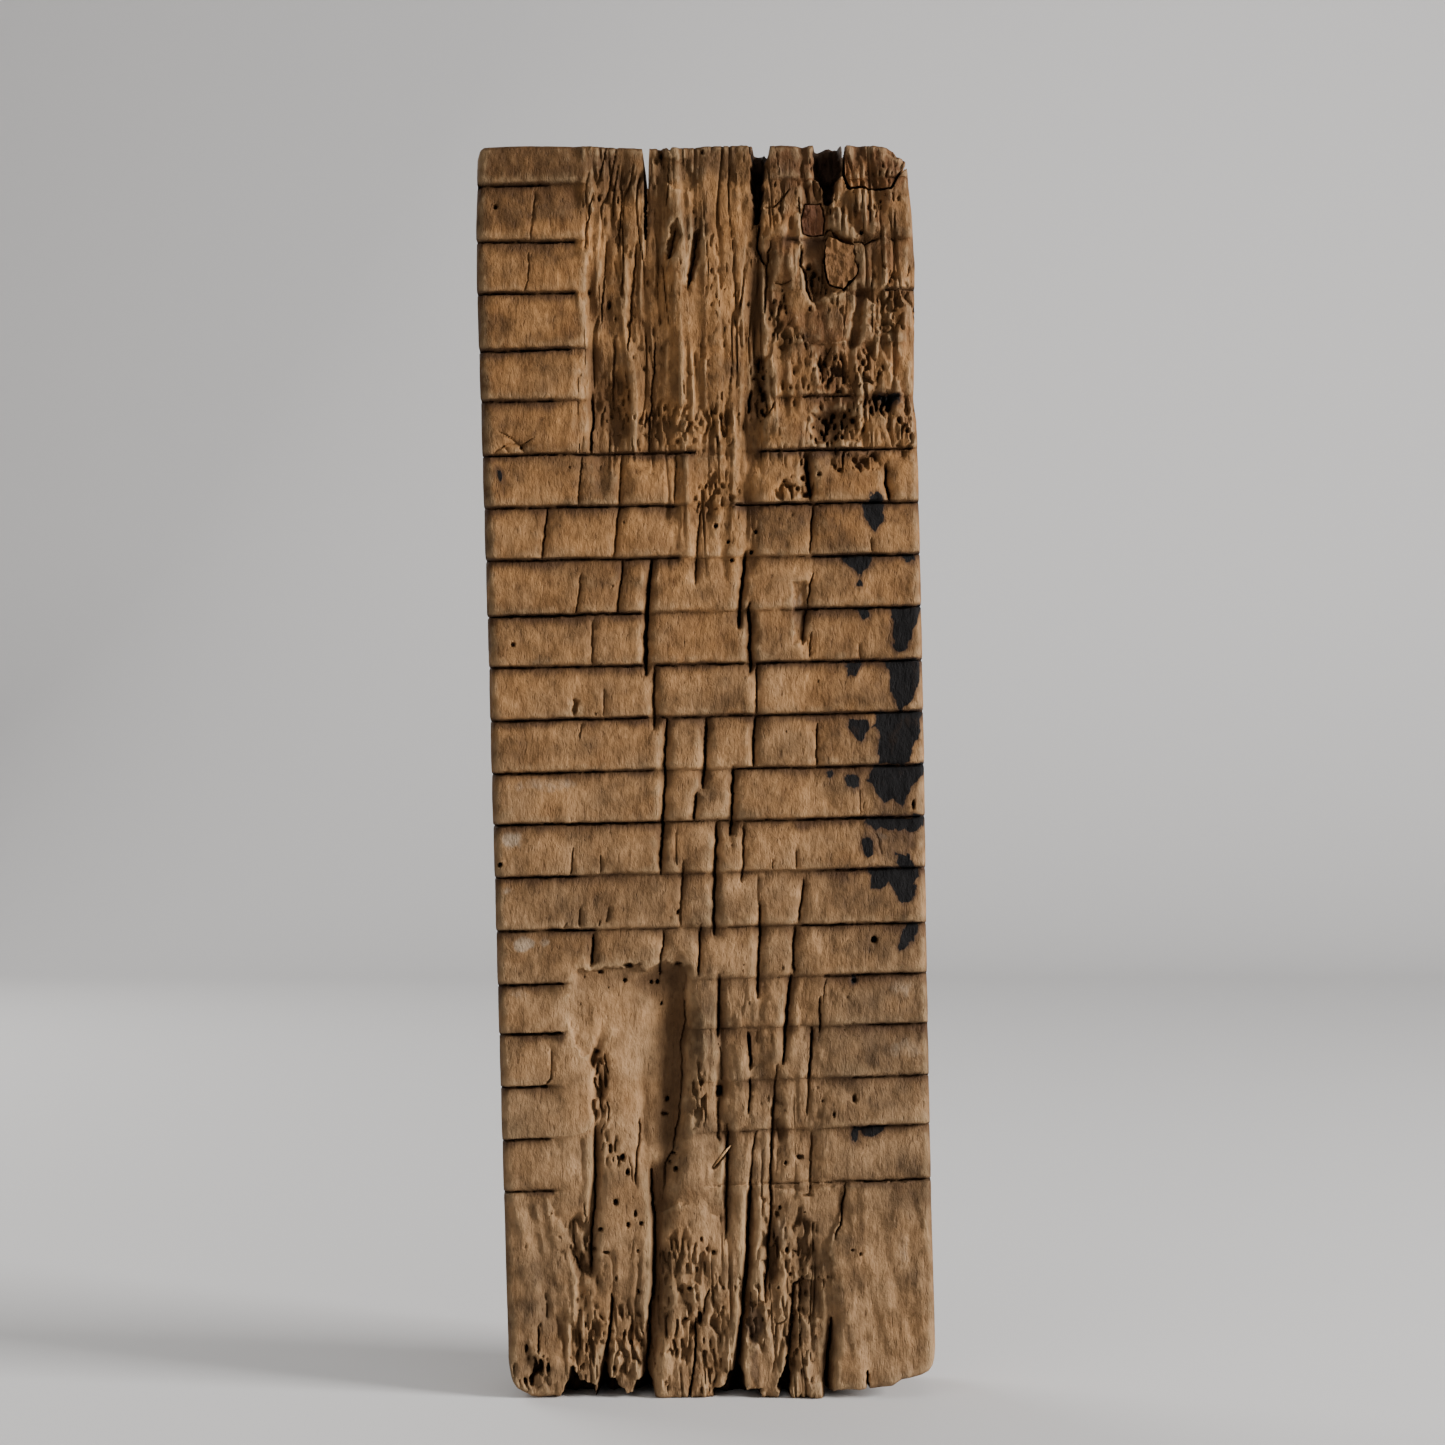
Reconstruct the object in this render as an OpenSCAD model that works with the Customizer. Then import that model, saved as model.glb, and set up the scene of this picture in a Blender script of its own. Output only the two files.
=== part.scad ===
// Old washboard: one thick hardwood plank, sawn across into twenty low ribs,
// rubbed hollow down the middle, split by drying and rotted at its top end.
// Millimetres, +Z up, ribs face -Y. The plank stands on its worn foot end.

/* [Plank] */
// Width of the plank near its top
board_w = 175; // [172:1:182]
// Narrowing of the plank from top to foot, each side
side_taper = 2.4; // [0:0.2:4]
// Height of the plank, foot to top
board_h = 503; // [500:1:510]
// Thickness of the plank
board_t = 46; // [40:1:60]
// Rounding of the long edges
edge_r = 3.5; // [2:0.5:6]
// Lean of the standing plank towards -X, in degrees
lean = 1.28; // [0:0.02:2]

/* [Ribs] */
// Height of the saw cut between two ribs
kerf_h = 1.7; // [1.2:0.1:2.4]
// Depth of the saw cut below the face
kerf_depth = 7; // [5:0.5:10]
// Drop of each rib's face just under the cut above it
rib_step = 2.6; // [1.5:0.1:4]
// Height of the rounded lower lip of each rib
rib_nose = 5; // [3:0.5:8]

/* [Wear] */
// Depth of the hollow rubbed into the lower left
lower_wear = 9; // [6:0.5:12]
// Depth of the hollow rubbed into the upper middle
upper_wear = 5; // [3:0.5:8]
// Depth of the hollow rubbed into the lower middle
middle_wear = 4.5; // [3:0.5:7]
// Depth of the main drying splits
split_depth = 13; // [8:1:18]
// Depth of the gaps between the worn fingers of the foot
foot_gap_depth = 15; // [10:1:20]

/* [Loose pieces] */
// Depth of the top corner block that has cracked loose
block_depth = 30; // [20:1:36]
// Depth of the rotted pocket that holds the loose flakes
pocket_depth = 11; // [9:1:14]
// Open crack left round each loose piece
loose_gap = 0.6; // [0.4:0.1:0.8]

/* [Hidden] */
$fn = 48;

front = -board_t / 2;
side_x = board_w / 2;
// Shift that centres the leaning outline on the origin
place_x = board_h / 2 * sin(lean) + 1.27;

// Saw cuts from the top down: height and inner end at the left edge,
// then height, inner end and outer end of the cut that comes in from the right
KERFS = [
    [488.1, -59, 488, 0, 0],
    [465.6, -49, 464, 0, 0],
    [444.9, -49.5, 443.2, 74.7, 95],
    [422, -51.7, 422, 0, 0],
    [401.7, -57, 400.6, 41, 60],
    [379.8, -2.8, 379.2, 23, 95],
    [359, -6.4, 357.8, 13, 95],
    [337.8, -10, 336.8, 30, 95],
    [315.3, -18, 315.7, 36, 95],
    [294.6, -25.8, 294.2, -20.4, 95],
    [273.5, -24, 273.5, -19.6, 95],
    [252.4, -22, 252.3, 10, 95],
    [231.5, -3, 231.5, 7, 95],
    [210.7, -21.5, 211, 42, 95],
    [189, -47, 188.9, 36, 95],
    [168, -58, 168.6, 44.6, 95],
    [148.1, -60.7, 148.4, 62, 95],
    [126.5, -67.5, 127.8, 55, 95],
    [105.4, -66, 108, 54.5, 95],
    [84.3, -66, 86.3, 58, 95]
];
function rib_z(i) = i < 0 ? board_h + 3 : (KERFS[i][0] + KERFS[i][2]) / 2;

// Worn top edge from left to right, as height above or below board_h
TOP = [
    [-82.7, 0.7], [-70, 1], [-50, 0.5], [-30, -0.3], [-18, -1], [0, -1], [10, -0.6],
    [20, -0.6], [24.4, -1.2], [27.4, -2.4], [29.2, -6.1], [30.4, -1.2], [40.3, -1.5],
    [47, -3.6], [49.8, -4.1], [53.2, -2.4], [59, -1.5], [71.6, -1.8], [77.1, -2.7],
    [79.6, -4.6], [80.8, -6.7], [83.3, -7.6], [84.8, -10.1]
];

// Main splits: width, then a path of [x, z] points
SPLITS = [
    [1.4, [[-19.8, 489], [-20.4, 466]]],
    [1.2, [[-24.2, 464], [-26.1, 446], [-28.5, 421]]],
    [2.4, [[-21, 337], [-23, 319], [-23.8, 308], [-24.2, 291]]],
    [1.6, [[-16.3, 272], [-17.5, 255], [-18.2, 240], [-18.8, 230], [-20, 211]]],
    [1.6, [[-0.3, 273], [-1.2, 255], [-2.5, 245]]],
    [1.4, [[-11.2, 170], [-11.6, 150], [-13.2, 135], [-14, 120], [-16.3, 108],
           [-20.5, 95], [-22, 80]]],
    [2.6, [[41.9, 376.6], [42.2, 368.7], [43.4, 360]]],
    [1.8, [[73.7, 373], [75, 358.5]]],
    [2, [[17, 339], [14.6, 320.5], [13.3, 309]]],
    [1.8, [[18.2, 314], [17.6, 294], [17.4, 288]]],
    [1.8, [[10, 253], [9.3, 240], [8.7, 230], [8.1, 226]]],
    [1.6, [[3, 231], [1.5, 205], [0.6, 186]]],
    [1.3, [[19.2, 194], [18.2, 170], [17.5, 160]]],
    [2, [[31.5, 169], [29.5, 155], [28, 140], [27.2, 133.5]]],
    [1.6, [[2.5, 170], [2, 160], [1.8, 150], [1.1, 145]]],
    [1.6, [[24.3, 128], [22.8, 112], [21.6, 95], [20.4, 67], [19.2, 52], [18, 38]]],
    [1.8, [[39.3, 148], [37.9, 133], [36.2, 113]]],
    [2.2, [[13.5, 146], [14.5, 135], [13.6, 120], [12.9, 114]]],
    [2, [[13.4, 92], [12.2, 75], [10.7, 52], [8.8, 33], [6, 12], [4.8, -6]]],
    [1.4, [[-26.8, 90], [-25.6, 72], [-26.5, 52], [-28.8, 30], [-30.9, 9]]],
    [1.8, [[-49, 110], [-49.3, 80], [-51.2, 66], [-51.8, 50]]]
];
// Shallower splits that open one or two ribs
SHORT_SPLITS = [
    [1, [[-29.4, 495], [-30.7, 470], [-31.4, 461]]],
    [1.4, [[-43.5, 404], [-44.5, 380]]],
    [1, [[-31.9, 379], [-33.4, 359.5], [-36, 338]]],
    [1, [[-62.3, 358], [-65, 338.3]]],
    [1, [[-49.4, 332], [-51.6, 315.6]]],
    [1.2, [[-20.5, 294], [-21.5, 269]]],
    [1.2, [[-4.7, 243], [-6, 232]]],
    [1.2, [[-10.7, 216], [-11.9, 200], [-12.6, 190]]],
    [1.2, [[-4.6, 190], [-5.8, 170]]],
    [1.6, [[20.4, 403.6], [19.2, 395]]],
    [1.2, [[44.3, 356.7], [42.7, 338.3]]],
    [1.1, [[43.4, 330], [40.9, 315.6], [38.8, 301.5]]],
    [1.2, [[13.9, 230], [13, 214], [12.3, 207]]],
    [1.2, [[37.3, 207], [35.2, 190.5]]],
    [1.2, [[33.6, 189], [32.5, 170]]],
    [1.2, [[38, 104], [37.3, 90], [36.8, 81]]],
    [1.2, [[51.3, 86], [49.5, 75], [46.8, 63]]]
];

// Gaps between the worn fingers of the foot, as outlines seen from the front
FOOT_GAPS = [
    [[-59.5, 15.5], [-62, 9], [-65, 2], [-66, -6], [-52, -6], [-52, 6], [-57, 8.5]],
    [[-43.3, 43], [-44.5, 33], [-46, 25], [-47.5, 17], [-49.5, 8], [-50.2, -6], [-27, -6],
     [-28.5, 8], [-30.6, 13], [-34, 8], [-36.5, 3], [-42, 6], [-42.5, 9.5], [-45.6, 10],
     [-45, 24], [-43.6, 33], [-42.3, 41]],
    [[-9.8, 30], [-11, 14], [-13.3, -6], [-11, -6], [-9.6, 14]],
    [[26.5, 17], [25.2, 12], [22, 4], [22.6, -6], [28, -6], [27.8, 8]],
    [[44.5, 30], [43, 22], [41.2, 8], [40.6, -6], [44, -6], [44, 14]],
    [[58.4, 10], [57.6, -6], [59.4, -6]]
];

// Rotted openings beside the V notch and in the top edge
ROT_OPENINGS = [
    [[24.5, 506], [28.9, 506], [28.7, 496.6], [26.8, 480.7], [25.3, 470.8], [23.4, 471],
     [22.8, 485]],
    [[47, 508], [59, 508], [58.6, 489.5], [56, 486], [55.6, 478], [51.4, 478],
     [50.6, 486], [47.2, 488.5]]
];

// Outlines of the loose pieces
BLOCK = [
    [60.4, 501.5], [71.6, 501.2], [77.1, 500.3], [79.6, 498.4], [80.8, 496.3], [83.3, 495.4],
    [84.4, 493.6], [80.8, 488.8], [78.2, 484], [69.2, 484], [67.4, 485.2], [62.2, 484.8],
    [60.2, 489.5]
];
UPPER_FLAKE = [[43.4, 466.5], [50.4, 466], [51, 471.5], [49.4, 478], [44.2, 478.4], [42.8, 472]];
LOWER_FLAKE = [
    [52.4, 446], [58.4, 443.6], [62.2, 447.8], [64.6, 451.4], [62.6, 461], [58, 462.4],
    [53, 464.5], [51, 456]
];
POCKET = [
    [42, 480], [51, 480.4], [53.8, 469], [62, 463.6], [65.6, 452], [58.6, 442.4],
    [45.8, 439.4], [41.4, 452], [41.8, 464]
];

// Beetle holes: x, z and radius
HOLES = [
    [64.9, 182.6, 1.15], [5.2, 349.8, 0.7], [10.1, 343.3, 0.7], [21.1, 347, 0.7],
    [19.2, 339, 0.7], [-84.3, 215.8, 0.7], [-80.3, 479.4, 0.8], [-37.9, 97.7, 0.9],
    [66.3, 466.5, 0.7], [-19.6, 119.7, 0.8]
];
HOLE_DEPTH = 18;

// Half width of the side at a height: the plank narrows towards its foot
function side_at(z) = side_x - side_taper * (1 - z / board_h);

// Outline of a split: its path widened along direction d, pointed at both ends
function widened(path, w, d) = concat(
    [path[0] - d * 0.15],
    [for (i = [1 : len(path) - 2]) path[i] - d * w / 2],
    [path[len(path) - 1] - d * 0.15, path[len(path) - 1] + d * 0.15],
    [for (i = [len(path) - 2 : -1 : 1]) path[i] + d * w / 2],
    [path[0] + d * 0.15]
);
// A two-point path gets a middle point, so that it opens between its ends
function with_middle(p) = len(p) > 2 ? p : [p[0], (p[0] + p[1]) / 2, p[1]];

// Leaning position of everything drawn in the plank's own upright frame
module place() {
    translate([place_x, 0, 0]) rotate([0, -lean, 0]) children();
}

// Prism of a front-view outline, from depth a to depth b below the front plane
module front_prism(a, b) {
    translate([0, front + b, 0]) rotate([90, 0, 0]) linear_extrude(b - a) children();
}

// Outline of the plank seen from the front, with its worn foot corners
module front_outline() {
    foot_l = side_at(20);
    foot_r = side_at(20);
    polygon(concat(
        [for (a = [90 : -15 : 0]) [-foot_l + 12 - 12 * cos(a), 20 - 18 * sin(a)]],
        [[-side_at(497), 497], [-85.4, board_h - 0.3]],
        [for (p = TOP) [p[0], board_h + p[1]]],
        [[side_at(488), 488], [side_at(430), 430]],
        [for (a = [0 : 15 : 60]) [foot_r - 9 + 9 * cos(a), 18 - 11 * sin(a)]],
        [[72, 6], [60, 2.4], [46.5, 2.1], [45.2, -8], [-70, -8]]
    ));
}

// Section of the plank seen from the side: a saw-tooth of ribs along the front
module rib_section() {
    last = len(KERFS) - 1;
    polygon(concat(
        [[-front, -12], [-front, board_h + 12], [front + 1.2, board_h + 12]],
        [for (i = [0 : last]) each [
            [front, rib_z(i) + rib_nose],
            [front + 0.35, rib_z(i) + rib_nose * 0.4],
            [front + 1.1, rib_z(i) + 0.1],
            [front + rib_step, rib_z(i) - 0.1]
        ]],
        [[front + 0.8, rib_z(last) - 22], [front + 0.8, -12]]
    ));
}

// Square corner less its quarter round
module edge_corner() {
    difference() {
        translate([0, -edge_r - 2]) square([edge_r + 2, edge_r + 2]);
        circle(edge_r);
    }
}

// Rounds the four long edges, each along the slightly tapered side
module long_edges() {
    tilt = atan(side_taper / board_h);
    for (s = [0, 1], f = [0, 1])
        mirror([s, 0, 0]) mirror([0, f, 0])
            translate([side_at(0) - edge_r, front + edge_r, -10]) rotate([0, tilt, 0])
                linear_extrude(board_h + 30) edge_corner();
}

// Shallow dish rubbed into the front, round both along and across the plank
module dish(x, z, half_w, half_h, depth) {
    r = half_w * half_w / (2 * depth) + depth / 2;
    big = half_h * half_h / (2 * depth) + depth / 2;
    translate([x, front + depth - big, z])
        rotate([0, 90, 0])
            rotate_extrude($fn = 96)
                intersection() {
                    translate([big - r, 0]) circle(r, $fn = 96);
                    translate([big - 2 * depth, -half_w - 12]) square([3 * depth, 2 * half_w + 24]);
                }
}

module board() {
    color("#8f7557") difference() {
        place() difference() {
            intersection() {
                front_prism(-2, board_t) front_outline();
                translate([-120, 0, 0]) rotate([90, 0, 90]) linear_extrude(240) rib_section();
            }
            long_edges();
            dish(-30, 118, 30, 66, lower_wear);
            dish(-8, 446, 40, 62, upper_wear);
            dish(16, 100, 30, 70, middle_wear);
            // Saw cuts in from the left edge and from the right edge
            front_prism(-3, kerf_depth)
                for (k = KERFS) {
                    translate([-100, k[0] - kerf_h / 2]) square([100 + k[1], kerf_h]);
                    if (k[4] > k[3])
                        translate([k[3], k[2] - kerf_h / 2]) square([k[4] - k[3], kerf_h]);
                }
            // Split that runs right through the top end
            front_prism(-3, board_t + 3)
                polygon([[-20.3, 508], [-18.7, 508], [-19.3, 495], [-19.9, 485], [-20.2, 494]]);
            front_prism(-3, split_depth)
                for (s = SPLITS) polygon(widened(with_middle(s[1]), s[0], [1, 0]));
            front_prism(-3, split_depth * 0.65)
                for (s = SHORT_SPLITS) polygon(widened(with_middle(s[1]), s[0], [1, 0]));
            front_prism(-3, foot_gap_depth) for (g = FOOT_GAPS) polygon(g);
            front_prism(-3, board_t * 0.7) for (g = ROT_OPENINGS) polygon(g);
            // Seats of the loose pieces
            front_prism(-3, block_depth) block_seat();
            front_prism(-3, pocket_depth) polygon(POCKET);
            splinter_seat();
            for (h = HOLES)
                translate([h[0], front - 3, h[1]]) rotate([-90, 0, 0])
                    cylinder(h = HOLE_DEPTH + 3, r = h[2]);
        }
        // Foot worn flat where the plank stands
        translate([-150, -100, -30]) cube([300, 200, 30]);
    }
}

// Opening left for the corner block: wider than it on the left and open to the top
module block_seat() {
    polygon([
        [60.4 - loose_gap, 510], [92, 510], [92, 492.6], [84.2, 492.2], [80.8, 488.8 - loose_gap],
        [78.2, 484], [69.2, 484], [67.4, 485.2 - loose_gap], [62.2 - loose_gap, 484.8 - loose_gap],
        [60.2 - loose_gap, 489.5]
    ]);
}

module corner_block() {
    color("#9a8060") place() front_prism(1.4, block_depth) polygon(BLOCK);
}

module upper_flake() {
    color("#a5806a") place() front_prism(4, pocket_depth) polygon(UPPER_FLAKE);
}

module lower_flake() {
    color("#836549") place() front_prism(2, pocket_depth) polygon(LOWER_FLAKE);
}

// The splinter lies aslant in a shallow seat beside a split
SPLINTER_X = 1.9;
SPLINTER_Z = 96.9;
SPLINTER_TURN = 40.5;
SPLINTER_DEPTH = 7;

module splinter_outline(grow) {
    translate([SPLINTER_X, SPLINTER_Z]) rotate(-SPLINTER_TURN)
        polygon([
            [-0.5 - grow, -5.6 - grow], [0.5 + grow, -5.6 - grow],
            [0.6 + grow, 4 + grow], [0, 5.6 + grow], [-0.6 - grow, 3 + grow]
        ]);
}

module splinter_seat() {
    front_prism(-3, SPLINTER_DEPTH) splinter_outline(0.5);
}

module splinter() {
    color("#b89d7c") place() front_prism(SPLINTER_DEPTH - 3, SPLINTER_DEPTH) splinter_outline(0);
}

board();
corner_block();
upper_flake();
lower_flake();
splinter();
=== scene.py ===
import math

import bpy
import numpy as np
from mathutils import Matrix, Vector


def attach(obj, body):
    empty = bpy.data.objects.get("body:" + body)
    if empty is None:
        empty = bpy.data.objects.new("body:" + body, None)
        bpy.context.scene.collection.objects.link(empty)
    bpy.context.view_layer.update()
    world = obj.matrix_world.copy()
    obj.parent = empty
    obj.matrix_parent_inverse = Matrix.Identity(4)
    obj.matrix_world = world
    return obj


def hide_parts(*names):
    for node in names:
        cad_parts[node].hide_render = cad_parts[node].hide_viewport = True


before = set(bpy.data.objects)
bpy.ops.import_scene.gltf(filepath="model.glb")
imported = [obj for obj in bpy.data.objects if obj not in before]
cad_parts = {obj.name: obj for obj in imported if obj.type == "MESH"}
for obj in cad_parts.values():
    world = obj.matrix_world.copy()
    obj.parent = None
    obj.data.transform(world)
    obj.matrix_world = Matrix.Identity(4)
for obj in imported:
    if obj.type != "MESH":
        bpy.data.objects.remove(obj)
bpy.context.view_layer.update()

# ---------------------------------------------------------------- sizes, in mm
HEIGHT = 503.0
HALF = 23.0                  # half the thickness
LEAN = math.radians(1.28)
SHIFT_X = 6.888              # centres the leaning plank on the origin
MM = 0.001

CAMERA_BACK = 1.1            # m from the plank's front face
FIELD = 0.578                # m seen across at the front face
AIM = (0.0069, 0.271)        # m, x and height of the line of sight

# Each face of the plank is worked out as a raster: how far it reaches to both sides, its lowest and highest
# row, and the size of its cells
FRONT_REACH, SIDE_REACH = 92, 26
LOW, HIGH = -6, 508
FRONT_CELL, PLAIN_CELL = 0.4, 0.8

# The mesh of the plank: columns of the front, front columns for each column of the back, columns of a side,
# rows, the heights over which the rows stretch to meet the worn ends, and the triangles kept in the end
COLUMNS, BACK_STEP, SIDE_COLUMNS, ROWS = 421, 3, 56, 1000
FOOT_STRETCH, TOP_STRETCH = 30.0, 34.0
BOARD_TRIANGLES = 190000

# Colour masks written onto the meshes, in order: painted shade in cuts, pale crests (rubbed wear and a painted
# highlight), painted shade in hollows and beside cuts, pitch, stains, dust, dirty bands with painted shade under the
# saw cuts, rot, tone (with painted shade along the left arris) and warmth
MASKS = ("recess", "ridge", "shade", "pitch", "stain", "dust", "grime", "rot", "tone", "warm")

# Saw cuts from the top down: height at the left edge, height at the right edge, then the stretches that
# still show (from x, to x, how deep: 1 is the full saw cut)
KERFS = [
    (488.1, 488.0, [(-92, -59, 1)]),
    (465.6, 463.6, [(-92, -49, 1), (34.8, 51, .7)]),
    (444.9, 443.2, [(-92, -49.5, 1), (74.7, 92, 1)]),
    (422.0, 421.8, [(-92, -51.7, 1), (-51.7, -45, .3)]),
    (401.7, 400.6, [(-92, -59, 1), (-59, -49, .4), (29.6, 36, .3), (41, 60, .8), (71, 79.6, 1)]),
    (379.8, 379.2, [(-92, -2.8, 1), (23, 84.5, 1)]),
    (359.0, 357.6, [(-92, -11, 1), (-11, -6.4, .5), (13, 92, 1)]),
    (337.8, 336.6, [(-92, -10, 1), (20, 43, .35), (43.4, 92, 1)]),
    (315.3, 315.7, [(-92, -26, 1), (-19.6, 0, .35), (30, 36, .4), (36, 92, 1)]),
    (294.6, 294.2, [(-92, -25.8, 1), (-20.4, 15, .9), (20, 92, 1)]),
    (273.5, 273.5, [(-92, -24, 1), (-19.6, 18, .9), (19, 92, 1)]),
    (252.4, 252.2, [(-92, -40, 1), (-40, -22, .7), (-17, -3, .35), (0, 10, .3), (10, 92, 1)]),
    (231.6, 231.4, [(-92, -19.5, 1), (-18, 0, .6), (-2, 7, .5), (10, 35, .7), (35, 92, 1)]),
    (210.6, 211.0, [(-92, -54, 1), (-54, -21.5, .5), (-18, -3, .4), (7, 42, .4), (42, 50, .7), (50, 92, 1)]),
    (189.0, 188.8, [(-92, -47, 1), (-43.5, -14, .35), (6, 36, .35), (36, 92, .9)]),
    (167.4, 168.8, [(-92, -60, .9), (-60, -57, .4), (3, 44, .3), (44.6, 92, .9)]),
    (147.9, 148.4, [(-92, -60.7, 1), (2, 60, .3), (60, 92, .9)]),
    (126.4, 127.7, [(-92, -67.5, .9), (-67, -60, .35), (11, 55, .3), (55, 92, .8)]),
    (105.3, 108.2, [(-92, -67, .8), (6, 53, .25), (54.5, 92, .8)]),
    (84.3, 86.2, [(-92, -66, .8), (24, 46, .25), (46, 60, .5), (58, 92, .8)]),
]
KERF_DEEP = 7.0
KERF_CLEAR = 0.55            # saw cuts that show more than this keep their floor while the rib above wears
LIP, NOSE = 4.2, 2.3         # how far up a rib its lower lip is rounded, and how far in at the lowest point
RIB_SLOPE = (2.2, 3.1)       # least and most that a rib leans in towards its top
FRESH_RIBS = (180, 381)      # heights between which splits have fully rounded shoulders

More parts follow.
